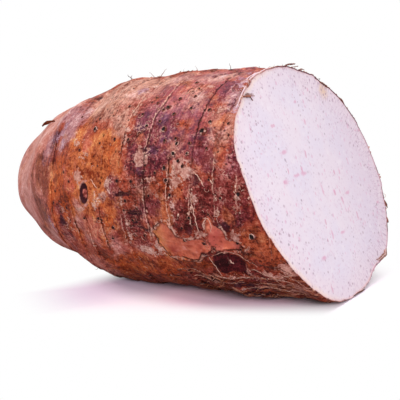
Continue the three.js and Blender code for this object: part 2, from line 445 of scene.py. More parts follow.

# %% [markdown]
# ## Patches of the skin
# A corm's skin is a patchwork: papery leaf bases that have weathered pale, bruises, orange cork where
# the outer skin has rubbed off, and a fresh patch where it has peeled. Each kind has a list of patches
# for the side that shows most. Their kinds and sizes were chosen, and some of their places were
# measured by a program. The other side gets patches of the same kinds at random. A patch is an ellipse:
# station and angle of its middle, half its length along the corm and half its width round it in mm, and
# how far it leans in degrees. What the mesh stores is the distance in mm to the nearest patch's edge,
# positive inside. A finish adds noise to that and cuts it at zero, which makes a ragged natural edge
# that is sharper than the mesh.

# %% Patches of the shown side
PATCHES = {
    "orange": [
        (101, 166, 18, 17, 0), (94, 187, 12, 11, 0), (87, 152, 4.5, 9, 0), (112, 184, 5, 8, 0),
        (100, 228, 16, 7, 0), (74, 170, 5, 7, 0), (100, 201, 7, 6, 0), (110, 154, 3, 4, 0),
    ],
    "rust": [
        (167, 146, 2.4, 4, 0), (77, 182, 7.5, 19, 0), (86, 178, 4, 12, 0), (71, 184, 5, 20, 0),
        (86, 202, 4, 6, 0), (103, 207, 5, 5, 0), (94, 226, 8, 8, 0), (115, 165, 4, 9, 0),
        (186, 198, 8.5, 11, 0), (160, 160, 4, 4, 0), (147, 148, 1.8, 5, 0), (170, 186, 6, 4, 0),
        (131, 224, 17, 10, 0), (112, 222, 18, 10, 0), (144, 182, 2, 8, 0), (152, 179, 3, 7, 0),
        (163, 182, 4, 5, 0), (110, 192, 4, 6, 0), (150, 208, 10, 4, 0),
    ],
    "umber": [
        (53, 197, 3.5, 12, 0), (56, 163, 5, 8, 0), (63, 174, 4, 9, 0), (50, 170, 2.4, 6, 0),
        (52, 178, 1.8, 2, 0), (58, 196, 5, 3, 0), (54, 213, 5, 6, 0), (82, 180, 1.2, 5, 0),
        (76, 201, 3, 5, 0), (60, 214, 9, 2.5, -40), (66, 153, 2.4, 6, 0), (139, 113, 7, 3, 15),
        (128, 110, 8, 2, 20), (152, 108, 8, 2, 25), (108, 236, 20, 9, 0), (146, 232, 14, 9, 0),
        (172, 228, 9, 7, 0), (157, 222, 9, 4, 0), (184, 226, 7, 5, 0), (152, 213, 8, 2.5, 0),
        (190, 208, 5, 1.5, 0), (180, 203, 3, 2, 0), (126, 218, 8, 4, 0), (118, 201, 4, 5, 0),
        (104, 172, 2, 1.5, 0), (73.5, 177, 2.2, 6, 0), (142, 178, 3, 3.4, 0), (185, 190, 2.4, 4, 0),
    ],
    "blush": [
        # The blush patches at 224 to 236 degrees, low on the near side, are partly painted light that lifts
        # the shade under the corm.
        (34, 160, 8, 20, 0), (44, 142, 7, 6, 0), (39, 196, 6, 14, 0), (59, 224, 7, 10, 0),
        (117, 126, 8, 8, 0), (92, 228, 8, 9, 0), (53, 131, 8, 8, 0), (37, 146, 7, 14, 0),
        (60, 128, 9, 4, 30), (45, 158, 4, 5, 0), (34, 100, 12, 25, 0), (66, 118, 6, 5, 0),
        (90, 186, 3, 3, 0), (108, 214, 4, 3, -20), (111, 209, 4.5, 6, 0), (96, 207, 4, 2, 0),
        (84, 236, 6, 9, 0), (10, 150, 14, 40, 0), (166, 152, 3.5, 4, 0), (88, 197, 3, 4, 0),
    ],
    "dark": [
        (132, 154, 11.5, 18, 0), (123, 193, 6, 9, 0), (158, 157, 4, 6, 0), (163, 178, 12, 9, 0),
        (152, 184, 6, 9, 0), (75, 204, 3.4, 12, 0), (67, 153, 2.5, 9, 0), (176, 164, 5, 8, 0),
        (179.5, 179, 4, 5, 0), (182, 178, 5, 9, 0), (150, 227, 13, 7, 0), (172, 227, 9, 6, 0),
        (114, 176, 5, 6, 0), (170, 190, 4, 5, 0), (126, 205, 5, 4, 0), (178, 221, 8, 6, 0),
        (126, 140, 6, 6, 0), (173, 176, 7, 10, 0), (178, 166, 6, 9, 0), (163, 131, 4, 5, 0),
        (157.5, 173.5, 2.6, 3.5, 0), (131, 190, 2.4, 3.4, 0), (129.5, 195, 2.4, 3.4, 0),
        (173, 167, 3, 4, 0), (177.5, 183, 3.4, 4.6, 0), (159.6, 191, 1.3, 2.8, 0),
    ],
    "bruise": [
        (154.5, 191.5, 2.2, 2.6, 0), (159.3, 170.6, 1.9, 2.2, 20), (168.4, 191.4, 2.2, 3.2, 0),
        (171.6, 190.2, 1.5, 2.6, 0), (123, 178, 4.5, 1.0, 0), (124, 187, 4, 1.1, 0), (128, 195, 5, 1.0, 5),
        (72.5, 226, 1, 1, 0), (81, 117, 1.8, 1.2, 0), (133, 118, 2.4, 1.0, 0), (75, 198, 1.5, 2.6, 0),
        (162, 204.5, 1.2, 1.6, 0), (159.5, 205, 2.4, 1.2, 0), (170, 225, 5, 2.6, 0), (176, 229, 4, 2, 0),
        (150, 234, 6, 2.2, 0), (173, 235, 8, 2.6, 0), (124, 192, 2, 0.8, 0), (126, 156, 3.5, 0.8, -30),
    ],
    "indigo": [
        (138, 145, 2.4, 3.4, 0), (137, 159, 3.6, 1.6, 0), (141.5, 153.6, 2.4, 2.8, 0),
        (131, 168, 2.4, 1.6, 0), (126, 149, 2.5, 1.4, 0), (168, 139, 2, 2.4, 0), (161, 150, 3, 1.2, 0),
        (66, 146, 3, 3, 0), (64, 202, 3, 1.4, -20),
    ],
    "pale": [
        (150.5, 164.5, 3.4, 3.6, 0), (154, 167, 3, 3.4, 0), (149, 167.5, 1.6, 2.2, 0),
        (150, 134.5, 4, 1.8, 10), (152, 126, 2.6, 1.6, 0), (129.5, 162, 2.6, 3.4, 0),
        (127.5, 208.2, 6.5, 2.2, 4), (135, 206, 1.8, 3.4, 0), (112, 173, 2.2, 3.6, 0),
        (109, 179, 2, 2.6, 0), (158.3, 179, 1.2, 3.2, 0), (154, 196, 3.4, 0.9, 0),
        (159.5, 194, 2.4, 1.2, 0), (175, 194, 2.4, 2.2, 0), (94, 160, 2, 1.8, 0), (88, 153.5, 2.6, 0.9, 0),
        (78.5, 189.5, 1.8, 1.4, 0), (80.5, 195, 1.0, 1.2, 0), (79.5, 202, 1.6, 1.0, 0),
        (179, 176, 1.2, 1.4, 0), (114, 123, 5, 3.6, 10), (116, 127, 3, 3, 0), (136, 171, 2.2, 0.9, 0),
        (164, 141, 2.0, 2.2, 0), (168.5, 131, 1.6, 8, 0), (92, 170.5, 2.0, 2.4, 0),
        (103.5, 183, 1.8, 3.6, 0), (147.3, 181, 0.6, 8, 0), (168, 218.5, 8, 1.0, 0), (166, 229, 3, 1.2, 10),
        (179, 227, 3, 1.4, -10), (158, 225, 4, 1, 0), (187, 215, 4.5, 2.2, 20), (176, 214, 1.4, 2.4, 0),
        (148.6, 186, 0.9, 0.9, 0), (168.6, 185, 0.7, 2.6, 0), (119.6, 192, 0.6, 10, 0),
        (92, 187, 3.2, 0.9, 0), (195, 213, 2.4, 2.6, 0), (166, 118, 2.4, 7, 0), (115, 147, 5, 0.8, 12),
        (120, 137, 0.6, 9, 0), (65.5, 202, 1.8, 1.8, -20), (149.5, 171, 3, 2.5, 0), (133, 161, 1.6, 3, 0),
        (194, 209, 3, 4, 0),
    ],
    "lilac": [
        (76, 140, 7, 12, 0), (65.5, 203, 2, 2.4, 0), (62, 150, 4, 6, 0), (166, 137, 2.4, 5, 0),
        (81, 134, 3, 5, 0), (66, 130, 5, 6, 0),
    ],
    "purple": [
        (140, 146, 6, 8, 0), (133, 147, 4, 7, 0), (137, 183, 5, 4.5, 0), (126, 143, 6, 6, 0),
        (164, 161, 5, 5, 0), (180.5, 182.5, 2.6, 4.6, 0), (141, 163, 5, 3.5, 0), (162, 128, 4.5, 7, 0),
        (178, 160, 5, 8, 0), (150, 143, 2, 4, 0),
    ],
    "tan": [
        (131, 175, 3, 4, 0), (127, 187, 2, 3, 0), (166, 151, 4, 6, 0), (98, 168, 3, 4, 0),
        (100, 122, 20, 17, 0), (126, 116, 10, 10, 0), (150, 112, 9, 9, 0), (113, 138, 6, 7, 0),
        (148, 135, 6, 6, 0), (167, 150, 5.5, 9, 0), (148, 156, 3.5, 5, 0), (139, 135, 5, 6, 0),
        (115, 150, 3, 6, 0), (95, 236, 9, 6, 0), (92, 201, 3, 4, 0), (194, 228, 7, 8, 0),
    ],
    "ember": [
        (128.4, 153.4, 2.5, 2.2, 0), (164.8, 148, 3.4, 3.0, 0), (146.6, 167, 1.5, 2.6, 0),
        (144, 186, 2.6, 4.4, 0), (173, 184, 3, 3, 0), (150, 176, 2.2, 3, 0), (188, 192, 1.8, 2.2, 0),
        (116, 163, 3.4, 4.5, 0), (54, 208, 2.6, 2, 0), (69, 166, 3, 3, 0),
    ],
    "edged": [
        (118.5, 140, 2.2, 11, 0), (118.5, 196, 2.2, 10, 0), (133, 143, 2.2, 18, 0), (133, 188, 2.2, 12, 0),
        (146, 180, 2.2, 14, 0), (156.5, 182, 2.2, 8, 0), (168, 170, 2.2, 9, 0), (178, 176, 2.2, 7, 0),
        (106, 202, 2.2, 8, 0), (95, 206, 2.2, 8, 0), (84, 200, 2.2, 5, 0), (178, 140, 2.2, 8, 0),
    ],
    # Stretches of ring where the painted crease shadow is strong.
    "strong_ring_shadow": [
        (156.5, 138, 2.2, 26, 0), (133, 152, 2.2, 24, 0), (118.5, 158, 2.2, 7, 0), (68, 196, 2.2, 18, 0),
        (84, 204, 2.2, 10, 0), (106, 196, 2.2, 12, 0), (190, 182, 2.2, 10, 0), (146, 168, 2.2, 8, 0),
        (133, 186, 2.2, 12, 0), (68, 156, 2.2, 8, 0),
    ],
    "rosy": [
        (93, 197, 4, 6, 0), (113.5, 208, 4, 5, 0), (97, 205, 4, 4, 0), (121, 135, 9, 5, 0),
        (167, 198, 7, 5, 0), (86, 172, 3, 4, 0), (141, 127, 7, 4, 0), (139, 134, 6, 6, 0),
        # The two rosy patches at 241 and 246 degrees, along the bottom edge, are painted light reflected from
        # the table.
        (90, 226, 10, 6, 0), (94, 153, 1.8, 5, 0), (99, 200, 6, 6, 0), (131, 241, 9, 3.4, 0),
        (157, 246, 8, 3.4, 0),
    ],
    "paper": [
        (115, 124.5, 3, 2.6, 0), (161.5, 117, 0.9, 4, 0), (165.5, 124, 1.2, 4, 0), (168, 131, 1.0, 4, 0),
        (169.5, 138, 0.6, 4, 0), (66, 203.5, 1.0, 2.6, 0), (64, 198, 0.8, 1.4, 0), (69, 146, 1.6, 2.6, 0),
        (75, 152, 1.6, 2.6, 0), (72, 139, 1.0, 3, 0), (151, 113, 1.6, 2.4, 0),
    ],
    "peeled": [
        (141.5, 200, 5.8, 9.3, 0), (150, 203, 8, 6.3, 0), (157.5, 200.4, 6, 3.8, 0),
        (151.5, 205, 5.5, 4, 0), (166.3, 196, 3.9, 6.5, 0), (164.4, 190, 1.5, 4.0, 0),
        (171, 199.5, 6, 2.6, 0), (136.2, 197.5, 2.4, 2.2, 25),
    ],
    "scar": [
        (167, 209.4, 5, 6.4, 0), (171.6, 211, 4.2, 6.2, 0), (165.5, 213, 2.6, 3.6, 0),
    ],
}
print("patches of the shown side:", {kind: len(group) for kind, group in PATCHES.items()})

# %% Patches of the far side
RANDOM_PATCHES = {  # count, smallest and largest half length, half width as a share of it
    "orange": (14, 3, 12, 1.3), "rust": (14, 3, 8, 1.5), "umber": (22, 2, 7, 1.6), "blush": (14, 3, 8, 1.4),
    "dark": (22, 3, 11, 1.4), "bruise": (14, 0.7, 1.9, 1.0), "indigo": (12, 1.2, 3, 1.0),
    "pale": (34, 0.8, 3.4, 1.1), "lilac": (8, 2, 6, 1.3), "tan": (8, 5, 14, 1.2), "purple": (14, 2, 8, 1.3),
    "ember": (14, 1.2, 3.5, 1.1), "edged": (40, 2.2, 2.3, 5), "strong_ring_shadow": (40, 2.2, 2.3, 6),
    "rosy": (14, 3, 8, 1.2), "paper": (10, 0.6, 2, 1.8), "peeled": (3, 3, 5, 0.9), "scar": (1, 4, 5, 1.0),
}
ON_RINGS = ("edged", "strong_ring_shadow")
SHOWN_ANGLES = (100, 236)
chance = np.random.default_rng(41)


def far_side_patches(kind):
    """Patches on the angles that the lists leave out. Most are small, and they come in pairs."""
    count, smallest, largest, widening = RANDOM_PATCHES[kind]
    made = []
    for _ in range(count):
        turn = chance.uniform(SHOWN_ANGLES[1] + 6, SHOWN_ANGLES[0] + 354)
        if kind in ON_RINGS:
            long = smallest
            wide = long * widening * chance.uniform(0.6, 1.6)
            made.append((chance.choice(RINGS[4:]), turn, long, wide, 0))
            continue
        at = chance.uniform(26, 196)
        long = smallest + (largest - smallest) * chance.random() ** 2.2
        for shrink in (1, chance.uniform(0.45, 0.9)):
            wide = long * shrink * widening * chance.uniform(0.5, 1.4)
            made.append((at, turn, long * shrink, wide, chance.uniform(-30, 30)))
            at = min(at + long * chance.uniform(-0.9, 0.9), 196)
            turn += long * chance.uniform(-1.1, 1.1)
    return made


patches = {kind: group + far_side_patches(kind) for kind, group in PATCHES.items()}


def edge_distance(station, angle, group):
    """Distance in mm to the nearest edge of a group of patches, positive inside."""
    nearest = np.full(np.broadcast(station, angle).shape, -20.0)
    for at, turn, long, wide, lean in group:
        along = station - at
        gap = (np.degrees(angle) - turn + 180) % 360 - 180
        around = np.radians(gap) * GIRTH_RADIUS * swell(np.float64(at))
        cosine, sine = math.cos(math.radians(lean)), math.sin(math.radians(lean))
        reach = np.hypot((cosine * along + sine * around) / long, (cosine * around - sine * along) / wide)
        nearest = np.maximum(nearest, (1 - reach) * min(long, wide))
    return nearest


fields = {kind: edge_distance(station, angle, group) for kind, group in patches.items()}
print("patches in all:", sum(len(group) for group in patches.values()))

# %% [markdown]
# ## Relief
# Noise from a lattice of random numbers gives the skin its wrinkles. It is evaluated on the points of
# the plain form, so it has no seam. On top come the dishes of the side buds, the sunken peeled patch
# with its crisp edge, and the slightly raised papery patches.


# %% Relief
def lattice(corner, seed):
    """A random number from 0 to 1 for each corner of a lattice."""
    mixed = (corner * [73856093, 19349663, 83492791]).sum(-1) + seed * 5915587277
    mixed = (mixed ^ (mixed >> 13)) * 1274126177 & 0x7FFFFFFF
    return ((mixed ^ (mixed >> 16)) & 0xFFFFFF) / 0xFFFFFF


def lumpy(points, size, seed, octaves=1):
    """A smooth random field from about -1 to 1, with lumps of about this size in mm."""
    total = 0
    for octave in range(octaves):
        scaled = points / (size / 2**octave)
        cell = np.floor(scaled).astype(np.int64)
        blend = scaled - cell
        blend = blend * blend * (3 - 2 * blend)
        for corner in product((0, 1), repeat=3):
            weight = np.where(corner, blend, 1 - blend).prod(-1)
            total = total + weight * (lattice(cell + corner, seed + octave) * 2 - 1) / 2**octave
    return total


def smooth(low, high, value):
    share = np.clip((value - low) / (high - low), 0, 1)
    return share * share * (3 - 2 * share)


SWELLS = [  # height, station, angle, half length, half width in mm
    (-3.4, 31, 142, 17, 24), (1.3, 90, 100, 34, 26), (1.2, 77, 230, 15, 11), (-0.7, 150, 100, 14, 14),
    (-1.6, 36, 208, 18, 22), (4.3, 99, 246, 27, 30), (-3.4, 198, 296, 26, 17), (1.4, 184, 181, 16, 16),
]
BUDS = [  # station, angle, half length, half width of the dish in mm
    (96, 179, 2.4, 4.6), (170, 211, 7.0, 7.5), (112, 38, 2.2, 3.9), (74, 318, 2.1, 3.6), (148, 352, 2.4, 4.2),
]
DISH_DEPTH, BUD_HEIGHT, LIP_HEIGHT = 1.1, 0.85, 0.35
GRAIN_RADIUS = 56  # a little under the girth
small_buds = [(*bud, 0) for bud in BUDS if bud[2] < 5]
fields["bud"] = edge_distance(station, angle, small_buds)


def reach_from(at, turn, long, wide):
    """How far each point lies from a place on the skin, as a share of a half length and a half width."""
    gap = np.radians((np.degrees(angle) - turn + 180) % 360 - 180)
    return np.hypot((station - at) / long, gap * GIRTH_RADIUS * swell(np.float64(at)) / wide)


body = swell(station)
wrinkle_fade = np.clip(body * 1.6 - 0.5, 0.15, 1) * (0.35 + 0.65 * smooth(55, 95, station))
bud_reach = np.min([reach_from(*bud) for bud in BUDS], axis=0)
dish = -DISH_DEPTH * (1 - smooth(0.55, 1.08, bud_reach)) + BUD_HEIGHT * smooth(0.45, 0.25, bud_reach)
dish = dish + LIP_HEIGHT * smooth(1.5, 1.05, bud_reach) * smooth(0.9, 1.1, bud_reach)
grain = np.stack([station, GRAIN_RADIUS * np.cos(angle), GRAIN_RADIUS * np.sin(angle)], axis=-1)
relief = 0.42 * lumpy(plain, 13, 1, 2) + 0.2 * lumpy(plain, 4.5, 4, 2)
relief = relief + 0.16 * lumpy(grain / [3.0, 12.0, 12.0], 1.0, 9, 2)
relief = relief + 0.14 * lumpy(grain / [14.0, 2.6, 2.6], 1.0, 14, 2)
peel_ragged = fields["peeled"] + 0.55 * lumpy(plain, 3.5, 21, 2)
calm = smooth(-1.0, 1.5, peel_ragged)
relief = relief * wrinkle_fade * (1 - 0.6 * calm)
relief = relief - 0.75 * smooth(-0.35, 0.35, peel_ragged) + 0.3 * smooth(-2.5, -0.4, peel_ragged) * (1 - calm)
relief = relief + 0.22 * smooth(-0.4, 0.4, fields["pale"] + 0.8 * lumpy(plain, 3, 31, 2))
relief = relief - 0.25 * smooth(-0.8, 0.8, fields["bruise"]) + dish
relief = relief + sum(height * smooth(1, 0, reach_from(*place)) for height, *place in SWELLS)
relief = relief - ring_relief(station, angle) * (0.75 * smooth(74, 52, station) + 0.6 * calm)
print("relief from", relief.min().round(2), "to", relief.max().round(2), "mm")

# %% [markdown]
# ## The skin as a mesh
# The grid becomes one closed solid: a fan at the tip, the rows of the skin, then a rim as thick as the
# skin, a small step down and a flat end behind the flesh. Where the corm lies on the table its underside
# is pressed flat. The fields and the grain's coordinates go into the mesh as attributes, for the finish.

# %% Skin mesh
SKIN_THICKNESS = 0.5
RECESS = 1.6
cut_normal = np.array([1, 0, CUT_LEAN]) / math.hypot(1, CUT_LEAN)


def onto_cut(points):
    """Slides points along X onto the knife's plane. Both are in the row frame."""
    moved = points.copy()
    moved[..., 0] = to_row_frame[0] + CUT_STATION - CUT_LEAN * (points[..., 2] - to_row_frame[2])
    return moved


skin_grid = skin_point(station, angle, relief * np.minimum(1, body * RELIEF_GROWTH)) + to_row_frame
skin_grid[..., 2] = np.maximum(skin_grid[..., 2], 0)
skin_grid[-1] = onto_cut(skin_grid[-1])
tip = skin_grid[0].mean(0) - [0.05, 0, 0]
rim = skin_grid[-1]
rim_middle = rim.mean(0)
inwards = rim_middle - rim
inwards = inwards / np.linalg.norm(inwards, axis=1, keepdims=True)
rim_noise = lumpy(rim, 5, 51, 3)[:, None]
inner_rim = rim + inwards * SKIN_THICKNESS * (1 + 0.45 * rim_noise)
recess_rim = inner_rim - cut_normal * RECESS
recess_rim[:, 2] = np.maximum(recess_rim[:, 2], 0.4)


def ring_faces(first, second):
    """Faces between two rings of points, given the index of the first point of each."""
    here = np.arange(COLUMNS)
    after = (here + 1) % COLUMNS
    return np.stack([first + here, first + after, second + after, second + here], axis=1).tolist()


def fan_faces(ring, middle, outward=True):
    here = np.arange(COLUMNS)
    after = (here + 1) % COLUMNS
    order = [ring + after, ring + here] if outward else [ring + here, ring + after]
    return np.stack([*order, np.full(COLUMNS, middle)], axis=1).tolist()


def closed_rings(rings, first_pole, last_pole):
    """Points and faces of a closed solid made of rings between two poles."""
    points = np.concatenate([[first_pole], *rings, [last_pole]])
    faces = fan_faces(1, 0)
    for index in range(len(rings) - 1):
        faces += ring_faces(1 + index * COLUMNS, 1 + (index + 1) * COLUMNS)
    faces += fan_faces(1 + (len(rings) - 1) * COLUMNS, len(points) - 1, outward=False)
    return points, faces


def store(piece, name, values, kind="FLOAT"):
    """Keeps one number, or one vector, for each point of a mesh."""
    attribute = piece.data.attributes.new(name, kind, "POINT")
    slot = "value" if kind == "FLOAT" else "vector"
    attribute.data.foreach_set(slot, np.ascontiguousarray(values, np.float32).ravel())


def over_solid(values):
    """A grid's values with those of the tip and of the hidden end added."""
    flat = values.reshape(-1, *values.shape[2:])
    ends = np.concatenate([values[-1], values[-1], values[-1][:1]])
    return np.concatenate([values[0][:1], flat, ends])


skin_points, skin_faces = closed_rings([*skin_grid, inner_rim, recess_rim], tip, recess_rim.mean(0))
print("skin faces:", len(skin_faces), "points:", len(skin_points))

# %% [markdown]
# ## The finish of the skin
# The colours go on in the order in which the skin gained them: the red-brown ground, the orange and
# rust cork, the purple-brown bruised bark, the pale paper, then the peeled patch. Each mask is a field
# plus noise, cut at zero. Fine streaks follow the grain, along and round the corm. A pale line lies just
# before each ring, and a painted crease shadow lies just past it.


# %% Skin finish
def skin_finish():
    finish = Finish("corm_skin")
    noise, sway, mix = finish.noise, finish.sway, finish.mix
    grain_at = finish.field("grain", "Vector")
    grown = finish.field("ring_station")
    height_above = finish.part(finish.place, 2)
    sideways = finish.part(grain_at, 1)
    upwards = finish.part(grain_at, 2)

    def stretched(along, around):
        return finish.vector("MULTIPLY", grain_at, {1: (1 / along, 1 / around, 1 / around)})

    fray = sway(1.2, 0.6, 2, 7.0) + sway(3.1, 0.9, 2, 8.0)

    def patch(kind, wander, softness):
        """A mask for one kind of patch. Its edge wanders this far and has this softness."""
        edge = sway(8, 1.6, 2, len(kind) * 1.7) + fray
        return (finish.field(kind) + edge * wander).rise(-softness, softness)

    # Each leaf base between two rings has a tone of its own.
    wandering = grown + sway(6, 0.4, 2, 20.0) + sway(1.6, 0.12, 2, 21.0)
    leaf = sum(wandering.rise(ring - 0.1, ring + 0.1) for ring in RINGS[1:])
    own_tone = sway(17, 0.26, 2, leaf * 3.7)

    # The tone, from 0 in the darkest grain to 1 in the lightest, has lumps of every size.
    dark_mask = patch("dark", 2.6, 2.2)
    grit = sway(0.8, 0.34, 1, 1.0) + sway(1.5, 0.34, 2, 2.0)
    lumps = (sway(3.2, 0.44, 3, 3.0) + sway(7.5, 0.40, 2, 4.0)) * (1 - dark_mask * 0.25)
    streaks = sway(1, 0.16, 2, 5.0, stretched(1.3, 7)) * grown.rise(40, 70)
    streaks = streaks + sway(1, 0.20, 2, 6.0, stretched(6, 1.1)) * (dark_mask * 0.75 + 0.25)
    contrast = grown.rise(30, 85) * 0.35 + 0.6 + dark_mask * 0.2
    upper_front = upwards.rise(5, 38) * grown.rise(105, 120)
    lower_front = upwards.rise(16, -14) * grown.rise(138, 152)
    tone = (grit + lumps + streaks) * contrast + own_tone + upper_front * 0.05 - lower_front * 0.24 + 0.5
    low, high = tone.rise(-0.1, 0.55), tone.rise(0.5, 1.15)

    def tones(deep, middle, light):
        return mix(high, mix(low, colour(*deep), colour(*middle)), colour(*light))

    base = tones((92, 28, 18), (164, 72, 52), (212, 128, 102))
    tip = tones((134, 64, 52), (200, 122, 108), (230, 180, 172))
    tip_border = grown + sway(20, 9, 2, 71.0)
    base = mix(tip_border.rise(72, 56) * 0.9, base, tip)
    tip_bark = sway(8, 1.0, 3, 58.0) + sway(1, 0.5, 2, 59.0, stretched(3, 12))
    bark_share = tip_bark.rise(0.0, 0.9) * grown.rise(60, 40) * 0.75
    base = mix(bark_share, base, tones((94, 38, 22), (158, 84, 58), (206, 144, 120)))
    base = mix(patch("tan", 3.0, 4.0) * 0.9, base, tones((144, 78, 62), (206, 150, 132), (234, 194, 180)))
    orange_mask, rust_mask = patch("orange", 2.0, 2.2), patch("rust", 2.2, 2.0)
    base = mix(orange_mask * 0.92, base, tones((128, 46, 20), (202, 110, 64), (232, 164, 102)))
    base = mix(rust_mask * 0.85, base, tones((108, 36, 12), (196, 88, 42), (230, 140, 78)))
    rust_by_cut = rust_mask * grown.rise(165, 178) * 0.5
    base = mix(rust_by_cut, base, tones((96, 34, 20), (158, 80, 60), (204, 128, 104)))
    base = mix(patch("umber", 1.8, 1.8) * 0.75, base, tones((58, 16, 8), (112, 46, 24), (168, 92, 62)))
    base = mix(patch("blush", 2.2, 2.4) * 0.7, base, tones((172, 96, 84), (218, 160, 150), (240, 206, 202)))
    base = mix(dark_mask * 0.92, base, tones((52, 11, 14), (124, 48, 48), (188, 114, 106)))
    base = mix(patch("purple", 2.2, 2.0) * 0.8, base, tones((56, 10, 22), (116, 46, 53), (178, 112, 117)))
    base = mix(patch("rosy", 2.4, 2.5) * 0.6, base, tones((140, 50, 42), (200, 104, 92), (230, 158, 144)))
    base = mix(patch("lilac", 2.0, 2.2) * 0.75, base, tones((112, 58, 68), (184, 132, 138), (222, 192, 194)))

    # Ochre and mauve blotches that change at each ring break up every zone.
    ochre = sway(6.5, 1.0, 3, leaf * 2.3 + 40).rise(0.1, 0.8)
    mauve = sway(8, 1.0, 3, leaf * 2.9 + 50).rise(0.15, 0.9)
    base = mix(ochre * (0.34 - dark_mask * 0.28), base, tones((130, 60, 26), (192, 116, 72), (230, 174, 128)))
    base = mix(mauve * (dark_mask * 0.25 + 0.35), base, tones((78, 21, 31), (144, 66, 74), (206, 146, 149)))
    base = mix(patch("ember", 1.4, 1.0) * 0.7, base, tones((128, 50, 30), (194, 108, 72), (226, 164, 120)))
    base = mix(patch("indigo", 1.0, 1.0) * 0.75, base, tones((50, 24, 40), (88, 52, 76), (136, 100, 118)))

    scales = (sway(1.6, 0.9, 3, 9.0) + sway(4.5, 0.8, 2, 10.0)).rise(0.65, 1.0)
    worn = (dark_mask * 0.7 + grown.rise(90, 112) * 0.3) * scales * (0.5 - lower_front * 0.25)
    base = mix(worn, base, tones((146, 84, 72), (194, 138, 122), (224, 182, 166)))
    chips = (sway(1.3, 0.9, 3, 12.0) + sway(5, 0.5, 2, 13.0)).rise(0.62, 0.95)
    base = mix(chips * (grown.rise(60, 110) * 0.4 + 0.25), base, colour(64, 18, 12))

    # Short dry fibres, fine cracks and pores are the smallest marks, and they are crisp.
    rough_zone = (dark_mask * 0.6 + grown.rise(56, 112) * 0.6).least(1.0)
    rough_zone = rough_zone * (orange_mask * -0.65 + 1) * (rust_mask * grown.rise(130, 160) * -0.5 + 1)
    flecks = sway(1, 1.0, 2, 38.0, stretched(2.8, 0.9))
    base = mix(flecks.rise(0.42, 0.62) * rough_zone * 0.6, base, colour(52, 16, 12))
    base = mix(flecks.rise(-0.5, -0.75) * rough_zone * (0.4 - lower_front * 0.2), base, colour(218, 156, 134))
    threads = sway(1, 1.0, 2, 46.0, stretched(0.8, 4.5))
    on_top = upwards.rise(24, 44) * grown.rise(70, 100)
    base = mix(threads.rise(0.38, 0.6) * on_top * 0.6, base, colour(82, 30, 24))
    base = mix(threads.rise(-0.42, -0.68) * on_top * 0.5, base, colour(232, 180, 156))
    curls = sway(2.2, 1.0, 1, 30.0).size().rise(0.15, 0.04) * sway(5, 1.0, 2, 31.0).rise(0.1, 0.45)
    base = mix(curls * rough_zone * (0.65 - lower_front * 0.3), base, colour(224, 172, 154))
    crackle = sway(3.6, 1.0, 2, 32.0).size().rise(0.13, 0.03) * sway(7, 1.0, 2, 33.0).rise(-0.1, 0.35)
    base = mix(crackle * rough_zone * 0.8, base, colour(44, 10, 8))
    pores = finish.cells(3.1) + sway(4, 0.13, 1, 34.0)
    base = mix(pores.rise(0.17, 0.08) * grown.rise(60, 85) * 0.8, base, colour(44, 12, 8))

    torn = sway(1.0, 1.3, 2, 28.0) + sway(2.8, 1.9, 3, 29.0)
    # Lower down, towards the table, the skin is painted darker and redder: partly the belly's own tone,
    # partly painted shade.
    shaded_red_underside = (height_above + sway(9, 5.0, 2, 35.0)).rise(32, 3) * (grown.rise(75, 130) * 0.6 + 0.4)
    shaded_red_underside = shaded_red_underside * (1 - grown.rise(166, 188) * 0.75)
    base = mix(shaded_red_underside * 0.62, base, tones((58, 12, 3), (134, 44, 20), (200, 102, 56)))
    grain_lines = sway(1, 1.0, 3, 48.0, stretched(9, 1.1)) + sway(1, 0.5, 2, 49.0, stretched(3, 0.8))
    lower = (upwards + sway(9, 5.0, 2, 35.0)).rise(-26, -46)
    base = mix(grain_lines.rise(0.2, 0.9) * lower * 0.6, base, colour(58, 14, 8))
    base = mix(grain_lines.rise(-0.35, -1.0) * lower * 0.6, base, colour(200, 124, 74))
    pale_mask = (finish.field("pale") + torn).rise(-0.15, 0.4)
    base = mix(pale_mask * 0.82, base, tones((166, 104, 90), (210, 160, 144), (236, 204, 192)))
    paper_edge = finish.field("paper") + torn * 1.2 + sway(1, 0.9, 2, 47.0, stretched(4, 0.8))
    paper_mask = paper_edge.rise(-0.2, 0.5)
    base = mix(paper_mask * 0.75, base, tones((122, 70, 88), (186, 146, 162), (228, 204, 212)))
    bruise_mask = patch("bruise", 0.6, 0.5)
    base = mix(bruise_mask * 0.85, base, tones((24, 6, 14), (52, 18, 32), (96, 54, 64)))

    peel_edge = finish.field("peeled") + sway(3.5, 0.5, 2, 14.0) + sway(1.3, 0.2, 2, 15.0)
    peel_mask = peel_edge.rise(-0.25, 0.25)
    peeled = mix(noise(5, 3, shift=16).rise(0.34, 0.6), colour(160, 66, 46), colour(218, 118, 88))
    peeled = mix(sway(1, 0.8, 2, 17.0, stretched(8, 1.3)).rise(0, 0.7) * 0.55, peeled, colour(228, 146, 116))
    peeled = mix(sway(1, 0.8, 2, 39.0, stretched(1.5, 6)).rise(0.1, 0.8) * 0.5, peeled, colour(140, 58, 44))
